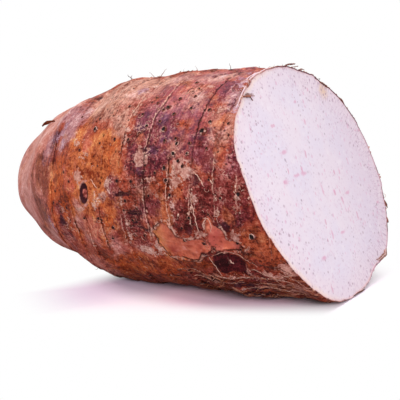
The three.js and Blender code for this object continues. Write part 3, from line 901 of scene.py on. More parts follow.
    # The left end of the peel turns golden: partly its own colour, partly a painted highlight.
    peeled = mix(grown.rise(143, 135) * 0.7, peeled, tones((176, 92, 44), (216, 140, 84), (236, 180, 122)))
    peeled = mix(sway(3, 1, 2, 40.0).rise(0.4, 0.9) * 0.4, peeled, colour(226, 158, 150))
    flush = grown.rise(150, 168) * noise(7, 2, shift=56).rise(0.4, 0.6) * 0.5
    peeled = mix(flush, peeled, colour(226, 128, 116))
    peeled = mix(noise(7, 4, shift=61).rise(0.44, 0.6) * 0.55, peeled, colour(168, 68, 60))
    peeled = mix(noise(4, 4, shift=67).rise(0.56, 0.7) * 0.5, peeled, colour(222, 134, 112))
    specks = noise(2.2, 3, shift=71).rise(0.6, 0.7) * grown.rise(150, 160) * 0.6
    peeled = mix(specks, peeled, colour(112, 40, 30))
    base = mix(peel_mask * 0.95, base, peeled)
    # Painted shadow: a dark line lies in the groove round the peeled patch, stronger along its lower edge. A
    # pale torn rim lies just outside it, fainter along the lower edge.
    lower_edge = upwards.rise(-13, -21)
    shaded_peel_groove = peel_edge.size().rise(0.5, 0.1) * noise(6, 1, shift=18).rise(0.36, 0.52)
    base = mix(shaded_peel_groove * (lower_edge * 0.6 + 0.25), base, colour(46, 12, 8))
    torn_rim = (peel_edge + 0.8).size().rise(0.8, 0.3) * sway(2.5, 1, 2, 41.0).rise(-0.2, 0.3)
    base = mix(torn_rim * (0.85 - lower_edge * 0.35), base, colour(228, 180, 160))

    scar_edge = finish.field("scar") + sway(5, 1.0, 3, 19.0) + sway(1.6, 0.3, 2, 42.0)
    scar = tones((40, 6, 10), (80, 18, 26), (134, 50, 54))
    scar = mix(sway(1.3, 1.0, 2, 43.0).rise(0.5, 0.9) * 0.5, scar, colour(140, 66, 66))
    base = mix(scar_edge.rise(-0.3, 0.4) * 0.96, base, scar)

    # Painted shadow: a dark line just past each ring stands for the shade under its step. A pale line lies
    # just before each ring.
    ring_crease_shadow, before_ring = None, None
    for ring in RINGS[2:]:
        gap = wandering - ring
        shadow = gap.rise(-0.05, 0.2) * gap.rise(0.9, 0.3)
        edge = gap.rise(-0.5, -0.3) * gap.rise(0.0, -0.15)
        ring_crease_shadow = shadow if ring_crease_shadow is None else ring_crease_shadow.most(shadow)
        before_ring = edge if before_ring is None else before_ring.most(edge)
    whole = 1 - peel_mask
    violet_cast = grown.rise(118, 130) * (1 - grown.rise(154, 168) * 0.85)
    violet_cast = violet_cast * noise(10, 3, shift=75).rise(0.35, 0.6)
    base = mix(violet_cast * upwards.rise(5, 35) * 0.25, base, colour(170, 104, 138))
    warm_cast = upwards.rise(20, 5) * upwards.rise(-22, -12) * grown.rise(140, 152) * whole
    base = mix(warm_cast * (1 - rust_mask) * 0.22, base, colour(110, 32, 18))
    edged = (finish.field("edged") + sway(4, 1.4, 2, 22.0)).rise(-0.8, 0.8)
    strong_ring_shadow = (finish.field("strong_ring_shadow") + sway(4, 1.4, 2, 36.0)).rise(-0.8, 0.8)
    ring_crease_shadow = ring_crease_shadow * (noise(7, 2, shift=37).rise(0.35, 0.6) * 0.35 + strong_ring_shadow * 0.6) * whole
    base = mix(ring_crease_shadow * grown.rise(30, 75), base, colour(48, 12, 8))
    beads = noise(9, 1, shift=23).rise(0.48, 0.6) * 0.2 + edged * 0.75
    beads = beads * noise(1.1, 1, shift=24).rise(0.3, 0.55)
    base = mix(before_ring * beads * whole * grown.rise(30, 75), base, colour(222, 172, 152))

    bud = finish.field("bud") + sway(2, 0.22, 2, 25.0)
    halo = bud.rise(-1.2, -0.5) * bud.rise(0.2, -0.2) * noise(3, 2, shift=60).rise(0.42, 0.6)
    base = mix(halo * 0.6, base, colour(206, 164, 160))
    base = mix(bud.rise(-0.4, 0.1), base, colour(58, 24, 30))
    heart = mix(noise(1.6, 2, shift=44).rise(0.4, 0.6), colour(128, 54, 46), colour(206, 118, 106))
    base = mix(bud.rise(1.0, 1.4), base, heart)

    # The cut rim of the skin is painted pale on the near side, a painted highlight, and lilac on the far
    # side. It is darker on the top far side and in dark patches.
    dark_rim = (upwards.rise(0, 25) * sideways.rise(-25, 0)).most(noise(4, 2, shift=45).rise(0.54, 0.6))
    rim_highlight_tone = mix(sideways.rise(0, 30), colour(234, 204, 202), colour(188, 148, 168))
    base = mix(finish.field("cut_edge"), base, mix(dark_rim, rim_highlight_tone, colour(108, 70, 84)))
    height = tone * 0.30 + sway(2.2, 0.12, 3, 26.0) + sway(0.7, 0.06, 2, 27.0)
    height = height * (peel_mask * -0.7 + 1) + pale_mask * 0.15 - bruise_mask * 0.15 - shaded_peel_groove * 0.3
    roughness = tone * 0.12 + 0.5 + pale_mask * 0.1 - peel_mask * 0.08
    return finish.shade(base, roughness, height, **{"Specular IOR Level": 0.08})


skin = plain_mesh("corm_skin", skin_points, skin_faces, skin_finish())
for kind, values in fields.items():
    store(skin, kind, over_solid(values))
store(skin, "grain", over_solid(grain), "FLOAT_VECTOR")
store(skin, "ring_station", over_solid(ring_station(station, angle)))
cut_edge = np.zeros(len(skin_points))
cut_edge[1 + ROWS * COLUMNS:] = 1
for row in (ROWS - 3, ROWS - 2, ROWS - 1):
    cut_edge[1 + row * COLUMNS:1 + (row + 1) * COLUMNS] = smooth(-20, 20, rim[:, 1])
store(skin, "cut_edge", cut_edge)
skin.data.shade_smooth()
skin.data.set_sharp_from_angle(angle=math.radians(65))
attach(skin, "root")
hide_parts("corm")
print("skin size in mm:", [round(side / MM, 1) for side in skin.dimensions])

# %% [markdown]
# ## The cut face
# The flesh is firm and starchy, and the knife leaves it nearly flat. It is a closed slice set into the
# recess, a hair below the skin's raw edge. Tiny dashes of violet and grey fibre show all over it. They
# are cells of a Voronoi pattern: most stay empty, and the rest hold a dash. A few soft pink streaks lie at
# random places, and a warm stain sits by the rim.

# %% Cut face
FACE_RINGS = 64
FACE_DROP = 0.12
SLICE_THICKNESS = 1.2

slice_rim = rim + (inner_rim - rim) * 0.94 - cut_normal * FACE_DROP
slice_middle = slice_rim.mean(0)
shares = np.linspace(1 / FACE_RINGS, 1, FACE_RINGS)[:, None, None]
face_grid = slice_middle + (slice_rim - slice_middle) * shares
swelling = 0.05 * lumpy(face_grid, 9, 61, 2) + 0.03 * lumpy(face_grid, 2.5, 65)
face_grid = face_grid + cut_normal * (swelling * np.minimum(1, (1 - shares[..., 0]) * 8))[..., None]
slice_back = slice_rim + inwards * 0.5 - cut_normal * SLICE_THICKNESS
slice_points, slice_faces = closed_rings([*face_grid, slice_back], slice_middle, slice_back.mean(0))

# %% Stain and pink streaks
STAIN = (47, 3)  # angle on the rim, and mm in from it
stain_column = round(STAIN[0] / 360 * COLUMNS)
stain_place = slice_rim[stain_column] + inwards[stain_column] * STAIN[1]
STREAK_COUNT, STREAK_REACH = 15, (4, 38)
streak_chance = np.random.default_rng(12)
pink_streaks = []  # middle and half size of each streak, across and up the face, in mm
for _ in range(STREAK_COUNT):
    around, out = streak_chance.uniform(0, 2 * math.pi), streak_chance.uniform(*STREAK_REACH)
    middle = slice_middle[1] + out * math.cos(around), slice_middle[2] + out * math.sin(around)
    half = streak_chance.uniform(1.2, 3.2), streak_chance.uniform(0.7, 1.1)
    pink_streaks.append((middle, half if streak_chance.random() < 0.4 else half[::-1]))


# %% Flesh finish
def flesh_finish():
    finish = Finish("cut_flesh")
    noise, sway, mix = finish.noise, finish.sway, finish.mix
    rim_gap = finish.field("rim_gap")
    base = mix(noise(26, 2, shift=1).rise(0.35, 0.65), colour(241, 229, 238), colour(235, 226, 239))
    far_side = finish.part(finish.place, 1)
    # Painted shade: the face darkens towards its far side.
    base = mix(far_side.rise(0, 75) * 0.75, base, colour(224, 206, 222))
    base = mix(rim_gap.rise(16, 0) * 0.5, base, colour(240, 219, 226))
    base = mix(rim_gap.rise(3.5, 0) * far_side.rise(0, -30) * 0.7, base, colour(250, 226, 206))
    to_stain = finish.vector("SUBTRACT", finish.place, {1: tuple(stain_place)})
    to_stain = finish.length(to_stain)
    stain = (to_stain + sway(2.5, 2.0, 3, 8.0)).rise(7, 1)
    base = mix(stain * 0.7, base, colour(236, 198, 160))
    base = mix(sway(2.4, 1.0, 3, 2.0).rise(0.1, 1.0) * 0.5, base, colour(228, 206, 220))
    base = mix(sway(3.2, 1.0, 2, 7.0).rise(0.1, 1.0) * 0.5, base, colour(246, 238, 244))

    quiet = sway(20, 0.12, 2, 9.0).most(0)

    def dashes(size, stretch, shift, reach, crowding):
        """Dashes this wide, as a share of the cell. A broad noise leaves some cells empty."""
        moved = finish.vector("ADD", finish.place, {1: (shift, shift * 1.7, shift * 0.6)})
        cells = finish.vector("MULTIPLY", moved, {1: stretch})
        near = finish.cells(size, cells) + sway(3.5, 0.13, 1, shift + 1) + quiet - crowding
        return near.rise(reach, reach * 0.4)

    def smears(long, shift, low, high):
        """Soft streaks this many mm long, upright or across."""
        where = finish.vector("DIVIDE", finish.place, {1: long})
        return sway(1, 1.0, 2, shift, where).rise(low, high)

    outer = rim_gap.rise(34, 8) * 0.5 + 0.5
    base = mix(dashes(1.7, (1, 1, 0.7), 3.0, 0.26, 0.03) * outer * 0.45, base, colour(196, 164, 190))
    base = mix(dashes(2.3, (1, 0.8, 0.8), 19.0, 0.22, 0.02) * outer * 0.6, base, colour(166, 128, 150))
    base = mix(dashes(5.0, (1, 1, 0.9), 29.0, 0.09, 0.01) * 0.55, base, colour(142, 108, 134))
    base = mix(dashes(3.0, (1, 1, 0.4), 41.0, 0.17, 0.03) * 0.5, base, colour(224, 166, 196))
    base = mix(dashes(6.5, (1, 1, 0.22), 67.0, 0.09, 0.02) * 0.55, base, colour(212, 134, 170))
    base = mix(dashes(9.0, (1, 0.25, 1), 88.0, 0.08, -0.01) * 0.5, base, colour(220, 142, 174))
    frayed = sway(1.3, 0.45, 2, 73.0)
    for middle, half in pink_streaks:
        from_streak = finish.vector("SUBTRACT", finish.place, {1: (0, *middle)})
        from_streak = finish.vector("DIVIDE", from_streak, {1: (1e6, *half)})
        from_streak = finish.length(from_streak)
        base = mix((from_streak + frayed).rise(1.3, 0.3) * 0.6, base, colour(222, 150, 184))
    some = sway(9, 1.0, 2, 55.0)
    base = mix(smears((1.5, 1.3, 5), 51.0, 0.5, 0.9) * some.rise(0.1, 0.5) * 0.6, base, colour(220, 146, 186))
    crosswise = smears((2, 5, 1.2), 52.0, 0.55, 0.9) * some.rise(-0.2, -0.6)
    base = mix(crosswise * 0.6, base, colour(222, 150, 188))
    by_rim = smears((1.6, 1.6, 2.4), 53.0, 0.3, 0.9) * rim_gap.rise(30, 4)
    base = mix(by_rim * 0.4, base, colour(192, 160, 186))
    mottle = finish.vector("MULTIPLY", finish.field("rim_way", "Vector"), {1: (1 / 0.9, 1 / 5, 1)})
    mottle = sway(1, 1.0, 3, 54.0, mottle).rise(0.0, 0.9) * rim_gap.rise(19, 4) * far_side.rise(-20, 35)
    base = mix(mottle * 0.9, base, colour(186, 150, 178))
    scratches = finish.vector("MULTIPLY", finish.field("rim_way", "Vector"), {1: (1 / 0.7, 1 / 2.5, 1)})
    scratches = sway(1, 1.0, 2, 57.0, scratches).rise(0.4, 0.9) * rim_gap.rise(17, 3) * far_side.rise(-30, 20)
    base = mix(scratches * 0.6, base, colour(164, 136, 164))
    base = mix(rim_gap.rise(1.2, 0.1) * 0.7, base, colour(236, 196, 196))
    height = noise(1.4, 3, shift=5) * 0.05 + noise(14, 2, shift=6) * 0.2
    return finish.shade(base, 0.42, height)


flesh = plain_mesh("cut_flesh", slice_points, slice_faces, flesh_finish())
rim_reach = np.linalg.norm(slice_rim - slice_middle, axis=1) * (1 - shares[..., 0])
store(flesh, "rim_gap", np.concatenate([[rim_reach[0].mean()], rim_reach.ravel(), np.zeros(COLUMNS + 1)]))
rim_steps = np.linalg.norm(np.diff(slice_rim, axis=0, append=slice_rim[:1]), axis=1)
rim_way = np.zeros((len(slice_points), 3))
rim_way[1:, 0] = np.resize(np.cumsum(rim_steps), len(slice_points) - 1)
rim_way[1:1 + rim_reach.size, 1] = rim_reach.ravel()
store(flesh, "rim_way", rim_way, "FLOAT_VECTOR")
flesh.data.shade_smooth()
flesh.data.set_sharp_from_angle(angle=math.radians(50))
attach(flesh, "root")
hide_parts("corm")
print("cut face:", len(slice_faces), "faces")

# %% [markdown]
# ## Places on the skin
# Roots, fibres and scraps of paper sit on the finished skin, so they need its exact surface. The grid
# already knows it: a station and an angle give a row and a column, and the point between four grid
# points is a weighted mean. The way out of the skin comes from the plain form, where it is steady.


# %% Places on the skin
def grid_normals():
    along = np.gradient(plain, axis=0)
    around = np.roll(plain, -1, axis=1) - np.roll(plain, 1, axis=1)
    out = np.cross(around, along)
    return out / np.linalg.norm(out, axis=-1, keepdims=True)


def between(grid, row, column):
    """The values of a grid at places between its points. Columns wrap round."""
    row = np.clip(row, 0, ROWS - 1.001)
    low_row, low_column = np.floor(row).astype(int), np.floor(column).astype(int)
    part_row, part_column = (row - low_row)[:, None], (column - low_column)[:, None]
    left, right = low_column % COLUMNS, (low_column + 1) % COLUMNS
    before = grid[low_row, left] * (1 - part_column) + grid[low_row, right] * part_column
    after = grid[low_row + 1, left] * (1 - part_column) + grid[low_row + 1, right] * part_column
    return before * (1 - part_row) + after * part_row


skin_normals = grid_normals()


def on_skin(stations, degrees):
    """Points of the skin in the row frame, the ways out of it, and the ways along it."""
    stations, degrees = np.atleast_1d(stations).astype(float), np.atleast_1d(degrees).astype(float)
    column = (degrees % 360) / 360 * COLUMNS
    reach = between(np.stack([column_length] * 2)[..., None], np.zeros_like(column), column)[:, 0]
    row = np.interp(stations, profile_station, profile_length) / reach * ROWS - 1
    out = between(skin_normals, row, column)
    out = out / np.linalg.norm(out, axis=1, keepdims=True)
    ahead = between(skin_grid, row + 0.5, column) - between(skin_grid, row - 0.5, column)
    ahead = ahead - out * (ahead * out).sum(1, keepdims=True)
    return between(skin_grid, row, column), out, ahead / np.linalg.norm(ahead, axis=1, keepdims=True)


probe, probe_out, _ = on_skin([100, 100], [90, 180])
print("top and front of the skin at 100 mm:", probe.round(1), "ways out:", probe_out.round(2))

# %% [markdown]
# ## A scatter with Geometry Nodes
# Hundreds of small things repeat here, so one node tree does it: it takes bare points, picks a shape
# for each from a collection, turns it to face out of the skin, leans it a little and sizes it. Realize
# Instances makes real faces of them, and the result is kept as a plain mesh.


# %% The scatter tree
def scatter_tree():
    tree = bpy.data.node_groups.new("scatter_on_skin", "GeometryNodeTree")
    graph = Graph(tree)
    sockets = [
        ("Points", "NodeSocketGeometry"), ("Shapes", "NodeSocketCollection"), ("Last shape", "NodeSocketInt"),
        ("Smallest", "NodeSocketFloat"), ("Largest", "NodeSocketFloat"), ("Lean", "NodeSocketFloat"),
        ("Spin", "NodeSocketFloat"), ("Seed", "NodeSocketInt"), ("Finish", "NodeSocketMaterial"),
    ]
    for name, kind in sockets:
        tree.interface.new_socket(name, in_out="INPUT", socket_type=kind)
    tree.interface.new_socket("Made", in_out="OUTPUT", socket_type="NodeSocketGeometry")
    given = graph.node("NodeGroupInput")
    taken = {name: Value(graph, given.outputs[name]) for name, _ in sockets}

    def stored(name, kind):
        return graph.value("GeometryNodeInputNamedAttribute", {"data_type": kind}, {"Name": name})

    def chance_of(kind, low, high, shift, output):
        inputs = {low[0]: low[1], high[0]: high[1], "Seed": taken["Seed"] + shift}
        return graph.value("FunctionNodeRandomValue", {"data_type": kind}, inputs, output)

    shapes = graph.value(
        "GeometryNodeCollectionInfo", None, {"Collection": taken["Shapes"], 1: True, 2: True}
    )
    outwards = graph.value(
        "FunctionNodeAlignRotationToVector", {"axis": "Z"}, {"Vector": stored("facing", "FLOAT_VECTOR")}
    )
    turned = graph.value(
        "FunctionNodeAlignRotationToVector", {"axis": "X", "pivot_axis": "Z"},
        {"Rotation": outwards, "Vector": stored("forward", "FLOAT_VECTOR")},
    )
    turn_limits = {0: taken["Lean"], 1: taken["Lean"], 2: taken["Spin"]}
    most_turn = graph.value("ShaderNodeCombineXYZ", None, turn_limits)
    least_turn = graph.value("ShaderNodeVectorMath", {"operation": "SCALE"}, {0: most_turn, "Scale": -1.0})
    lean = chance_of("FLOAT_VECTOR", (0, least_turn), (1, most_turn), 1, 0)
    lean = graph.value("FunctionNodeEulerToRotation", None, {0: lean})
    turned = graph.value("FunctionNodeRotateRotation", {"rotation_space": "LOCAL"}, {0: turned, 1: lean})
    pick = chance_of("INT", (4, 0), (5, taken["Last shape"]), 2, 2)
    size = chance_of("FLOAT", (2, taken["Smallest"]), (3, taken["Largest"]), 3, 1) * stored("size", "FLOAT")
    placed = graph.value("GeometryNodeInstanceOnPoints", None, {
        "Points": taken["Points"], "Instance": shapes, "Pick Instance": True, "Instance Index": pick,
        "Rotation": turned, "Scale": size,
    })
    real = graph.value("GeometryNodeRealizeInstances", None, {0: placed})
    finished = graph.value("GeometryNodeSetMaterial", None, {"Geometry": real, "Material": taken["Finish"]})
    graph.node("NodeGroupOutput", None, {0: finished})
    return tree


scatter_nodes = scatter_tree()
print("scatter inputs:", [item.name for item in scatter_nodes.interface.items_tree][:-1])


# %% Scattering
def shape_collection(name, shapes):
    """A collection of small meshes, sized in mm, that a scatter picks from."""
    group = bpy.data.collections.new(name)
    for index, (points, faces, marks) in enumerate(shapes):
        mesh = bpy.data.meshes.new(f"{name}_{index}")
        mesh.from_pydata((np.asarray(points) * MM).tolist(), [], faces)
        mark = mesh.attributes.new("mark", "FLOAT", "POINT")
        mark.data.foreach_set("value", np.asarray(marks, np.float32))
        mesh.shade_smooth()
        group.objects.link(bpy.data.objects.new(f"{name}_{index}", mesh))
    return group


TABLE_CLEARANCE = 1.6
MOST_ABOVE = 1.2  # how far a thing may rise past the corm's own box


def room_above(points, out):
    """The longest that a thing at each place may be before it leaves the corm's box or meets the table."""
    upwards = (corm_high[2] + MOST_ABOVE - points[:, 2]) / np.maximum(out[:, 2], 0.05)
    downwards = (points[:, 2] - TABLE_CLEARANCE) / np.maximum(-out[:, 2] + 0.35, 0.05)
    sideways = (corm_high[1] + MOST_ABOVE - np.abs(points[:, 1])) / np.maximum(np.abs(out[:, 1]), 0.05)
    return np.maximum(np.minimum(np.minimum(upwards, downwards), sideways), 0.3)


def scatter(name, shapes, places, finish, sizes=1.0, smallest=0.8, largest=1.2, lean=0.2, spin=3.14,
            seed=1, shades=0.5):
    """Sets shapes on the skin at places, each a station and an angle, and keeps them as one mesh."""
    stations, degrees = np.array([place[:2] for place in places], float).T
    points, out, ahead = on_skin(stations, degrees)
    sizes = np.minimum(np.broadcast_to(sizes, len(points)), room_above(points, out))
    kept = points[:, 2] > TABLE_CLEARANCE
    points, out, ahead, sizes = points[kept], out[kept], ahead[kept], sizes[kept]
    shades = np.broadcast_to(shades, len(kept))[kept]
    mesh = bpy.data.meshes.new(name)
    mesh.from_pydata((points * MM).tolist(), [], [])
    holder = bpy.data.objects.new(name, mesh)
    bpy.context.scene.collection.objects.link(holder)
    store(holder, "facing", out, "FLOAT_VECTOR")
    store(holder, "forward", ahead, "FLOAT_VECTOR")
    store(holder, "size", sizes)
    store(holder, "shade", shades)
    modifier = holder.modifiers.new("scatter", "NODES")
    modifier.node_group = scatter_nodes
    group = shape_collection(f"{name}_shapes", shapes)
    choices = {
        "Shapes": group, "Last shape": len(shapes) - 1, "Smallest": smallest, "Largest": largest,
        "Lean": lean, "Spin": spin, "Seed": seed, "Finish": finish,
    }
    for item in scatter_nodes.interface.items_tree:
        if item.name in choices:
            modifier[item.identifier] = choices[item.name]
    evaluated = holder.evaluated_get(bpy.context.evaluated_depsgraph_get())
    made = bpy.data.meshes.new_from_object(evaluated)
    holder.modifiers.remove(modifier)
    holder.data = made
    made.name = name
    for item in list(group.objects):
        bpy.data.objects.remove(item)
    bpy.data.collections.remove(group)
    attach(holder, "root")
    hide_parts("corm")
    print(name, "-", len(points), "placed,", len(made.polygons), "faces")
    return holder


# %% [markdown]
# ## Root scars
# Roots break off the corm and leave a small dark pit in a corky rim. A pit is a low ring of eight
# sides, closed below, and the mark stored on it runs from 0 in the pit to 1 at its foot. The finish
# reads that mark. The pits that show most are listed one by one, and the rest follow the rings.


# %% Root scars
def lathe(profile, sides, marks, wobble=0.0, seed=0):
    """A closed small solid from rings of (radius, height), pole to pole."""
    rolls = np.random.default_rng(seed)
    turns = np.arange(sides) * 2 * np.pi / sides
    points, faces, kept = [], [], []
    for (radius, height), mark in zip(profile, marks):
        first = len(points)
        if radius == 0:
            points.append((0, 0, height))
            kept.append(mark)
        else:
            reach = radius * (1 + wobble * rolls.uniform(-1, 1, sides))
            corners = [reach * np.cos(turns), reach * np.sin(turns), np.full(sides, height)]
            points += np.stack(corners, 1).tolist()
            kept += [mark] * sides
        if first:
            here, after = np.arange(sides), (np.arange(sides) + 1) % sides
            last = before + here if count > 1 else np.full(sides, before)
            last_after = before + after if count > 1 else last
            now = first + here if radius else np.full(sides, first)
            now_after = first + after if radius else now
            for corners in zip(last, last_after, now_after, now):
                faces.append(list(dict.fromkeys(int(corner) for corner in corners))[::-1])
        before, count = first, len(points) - first
    return points, faces, kept


PIT_RIM = [(0, 0.1), (0.48, 0.14), (0.62, 0.4), (0.8, 0.36), (1.1, -0.2), (0, -0.5)]
PIT_MARKS = [0, 0.25, 0.5, 0.75, 1, 1]
pit_shapes = [lathe(PIT_RIM, 8, PIT_MARKS, 0.24, seed) for seed in range(6)]

ROOT_SCARS = [  # station, angle, radius in mm, paleness of the rim
    (97, 146, 1.3, 1), (113, 153, .9, .2), (103, 154, .7, .1), (91, 157, .7, .1), (104, 165, .7, .1),
    (82, 168, .8, .3), (86, 173, .8, .3), (135, 140, .9, .3), (137, 139, 1.1, .5), (136, 146, .9, .5),
    (130, 136, .9, .3), (114, 136, .8, .5), (97, 140, .8, .6), (140.5, 134, 1.0, .5), (142, 143, .9, .6),
    (130, 148, 1.2, 1), (140, 150, 1.2, 1), (142, 155, .9, .5), (122, 154, .9, .6), (147, 154, 1.0, .8),
    (148, 156, 1.1, .9), (154.5, 156, .9, .5), (154, 160, 1.0, .8), (150, 163, 1.0, .9), (152.5, 165, .9, .6),
    (147, 160, 1.1, .8), (159, 151, 1.6, .9), (163, 158, .9, .3), (149, 140, .9, .5), (147.5, 133, .8, .4),
    (146, 127, .8, .4), (142, 122, .9, .3), (135, 178, .9, .5), (147, 177, 1.0, .6), (171, 177, .9, .6),
    (179, 175, 1.1, 1), (183, 193, 1.3, .9), (176, 201, .9, .3), (164, 201, .9, .3), (151, 198, .8, .3),
    (160, 199, 1.0, .7), (175, 198, .8, .2), (112, 196, .9, .5), (110, 202.5, .8, .4), (95, 192, .8, .5),
    (105, 191, .8, .4), (106, 192, .7, .5), (138, 225, .9, .2), (73, 179, .7, .2), (71, 186, .8, .5),
    (74, 187, .7, .4), (77, 185, .7, .5), (76, 191, .7, .3), (82, 188, .8, .4), (82, 196, .7, .3),
    (81, 135, .8, .1), (80, 117, 1.0, .1), (127, 132, .8, .5), (125, 142, .9, .4), (158, 141, .9, .5),
    (161, 147, 1.2, .7), (156, 146, .8, .4), (144, 166, 1.0, .8), (139, 168, .8, .5), (145, 171, 1.0, .7),
    (133, 165, .8, .3), (126, 172, .9, .5), (122, 181, 1.2, .3), (124, 191, 1.1, .4), (120, 186, .9, .3),
    (118, 172, .8, .5), (129, 199, .9, .4), (170, 148, .8, .4), (172, 153, .7, .3), (166, 170, .9, .4),
    (156, 186, .9, .6), (152, 191, .8, .5), (165, 184, .8, .4),
]


def far_ring_places(count, low_station, spread):
    """Random places along the rings, on the angles that the lists leave out."""
    rings = np.array([ring for ring in RINGS if low_station < ring < 195])
    at = chance.choice(rings, count) + chance.normal(0, spread, count)
    turn = chance.uniform(SHOWN_ANGLES[1], SHOWN_ANGLES[0] + 360, count)
    cut = np.interp(turn % 360, np.degrees(column_angle), cut_station(column_angle), period=360)
    return [(min(a, c - 3), t) for a, t, c in zip(at, turn, cut)]


far_scars = far_ring_places(170, 60, 2.2)
far_scars = [(a, t, chance.uniform(0.7, 1.2), chance.uniform(0.1, 0.9)) for a, t in far_scars]
all_scars = ROOT_SCARS + far_scars


def fibre_finish(name, deep, middle, light, palest):
    """A plain dry finish from dark at shade 0, through light at 1, to the palest at 1.5."""
    finish = Finish(name)
    speckle = finish.sway(0.7, 0.35, 2, 1.0)
    tone = finish.field("shade") + speckle
    base = finish.mix(tone.rise(0.4, 1.1), colour(*middle), colour(*light))
    base = finish.mix(tone.rise(1.1, 1.5), base, colour(*palest))
    base = finish.mix(tone.rise(0.4, -0.1), base, colour(*deep))
    return finish, base


SCAR_TONES = (92, 44, 34), (150, 86, 68), (222, 182, 166), (228, 198, 186)


def pit_finish():
    finish, rim_colour = fibre_finish("root_scar", *SCAR_TONES)
    mark = finish.field("mark") + finish.sway(0.6, 0.12, 2, 2.0)
    worn = mark.rise(0.95, 0.8) * finish.noise(1.3, 2, shift=3.0).rise(0.46, 0.58)
    base = finish.mix(worn, colour(112, 50, 40), rim_colour)
    base = finish.mix(mark.rise(0.6, 0.45), base, colour(24, 6, 6))
    return finish.shade(base, 0.6, None, **{"Specular IOR Level": 0.2})


SCAR_GROWTH = 1.15
scar_sizes = [SCAR_GROWTH * scar[2] for scar in all_scars]
scar_shades = [scar[3] for scar in all_scars]
scatter(
    "root_scars", pit_shapes, all_scars, pit_finish(), sizes=scar_sizes, shades=scar_shades,
    smallest=0.8, largest=1.15, lean=0.15, seed=3,
)

# %% [markdown]
# ## Dry fibres, strands and rootlets
# Old leaf bases rot down to fibres. Some lie curled on the skin round the root scars, a few long strands
# cross it, and short rootlets stand off it. Curls and rootlets repeat, so they are scattered. A strand
# follows a listed route, as a thin flat tube laid on the skin. The dark ones lie along cracks and creases
# as painted shadow. Some points of the routes were measured by a program.


# %% Curls and rootlets
def bent_tube(path, radii, sides=3):
    """A closed thin tube along a path, and marks from 0 at its root to 1 at its end."""
    path, points, faces = np.asarray(path, float), [], []
    heading = np.gradient(path, axis=0)
    heading = heading / np.linalg.norm(heading, axis=1, keepdims=True)
    side = np.cross(heading, [0.3, 0.2, 1.0])
    side = side / np.linalg.norm(side, axis=1, keepdims=True)
    top = np.cross(side, heading)
    for turn in np.arange(sides) * 2 * np.pi / sides:
        points.append(path + (side * math.cos(turn) + top * math.sin(turn)) * np.asarray(radii)[:, None])
    points = np.stack(points, axis=1).reshape(-1, 3)
    for step in range(len(path) - 1):
        for here in range(sides):
            after = (here + 1) % sides
            row = step * sides
            faces.append([row + here, row + sides + here, row + sides + after, row + after])
    faces.append(list(range(sides)))
    faces.append([len(points) - 1 - corner for corner in range(sides)])
    marks = np.repeat(np.linspace(0, 1, len(path)), sides)
    return points, faces, marks


def curl_shape(seed):
    rolls = np.random.default_rng(seed)
    turns = np.linspace(0, rolls.uniform(1.6, 4.2), 8)
    reach = 1 + 0.25 * rolls.uniform(-1, 1) * turns
    lift = 0.12 + 0.22 * np.sin(np.linspace(0, math.pi, 8)) * rolls.random()
    path = np.stack([reach * np.cos(turns), reach * np.sin(turns), lift], 1)
    return bent_tube(path, 0.11 * np.sin(np.linspace(0.35, 2.8, 8)) + 0.02)


def rootlet_shape(seed):
    rolls = np.random.default_rng(seed)
    share = np.linspace(0, 1, 7)
    turn, side_way = rolls.uniform(0.8, 2.4), rolls.uniform(-0.5, 0.5)
    across, up = 1 - np.cos(turn * share), np.sin(turn * share)
    path = np.stack([across / turn, side_way * share**1.6 + 0.06 * np.sin(share * 9), up / turn - 0.06], 1)
    return bent_tube(path, 0.05 * (1 - 0.7 * share))


def near(places, count, spread):
    """Random places round given ones, a spread of this many mm."""
    picked = np.array([place[:2] for place in places])[chance.integers(0, len(places), count)]
    at = picked[:, 0] + chance.normal(0, spread, count)
    turn = picked[:, 1] + chance.normal(0, spread, count)
    return list(zip(at, turn))


DRY_TONES = (62, 24, 18), (150, 92, 74), (226, 184, 164), (226, 200, 212)
STRAW_TONES = (58, 12, 8), (140, 70, 46), (194, 128, 98), (224, 174, 152)


def dry_finish():
    finish, base = fibre_finish("dry_fibre", *DRY_TONES)
    return finish.shade(base, 0.65, None, **{"Specular IOR Level": 0.2})


dry = dry_finish()
middle_scars = [scar for scar in ROOT_SCARS if scar[0] > 100]
curl_places = near(middle_scars, 190, 2.6) + near(far_scars, 300, 2.6)
curl_shades = chance.choice([0.05, 0.55, 0.95], len(curl_places), p=[0.4, 0.2, 0.4])
scatter(
    "curled_fibres", [curl_shape(seed) for seed in range(8)], curl_places, dry,
    shades=curl_shades, smallest=0.4, largest=1.15, lean=0.12, seed=11,
)

ROOTLETS = [  # station, angle, length in mm
    (84, 89, 4.5), (106, 94, 5), (104, 98, 4), (108, 99, 3), (188, 332, 3), (106, 241, 3), (188.5, 244, 3),
    (176, 236, 3), (150, 238, 2), (120, 240, 2),
]
far_rootlets = [(a, t, chance.uniform(1.0, 4.5)) for a, t in far_ring_places(60, 60, 3) if t > 290 or t < 250]
short_roots = [(a, t, chance.uniform(0.8, 2.2)) for a, t in near(middle_scars, 60, 3)]
all_rootlets = ROOTLETS + far_rootlets + short_roots
scatter(
    "rootlets", [rootlet_shape(seed) for seed in range(8)], all_rootlets, dry,
    sizes=[rootlet[2] for rootlet in all_rootlets], shades=chance.uniform(0, 0.7, len(all_rootlets)),
    smallest=0.8, largest=1.2, lean=0.6, seed=17,
)

# %% [markdown]
# ## Scraps of paper
# The dry outer skin breaks along the rings and at the knife's edge into small curled scraps. Each scrap
# is a thin, uneven, seven-sided flake with one side lifted.


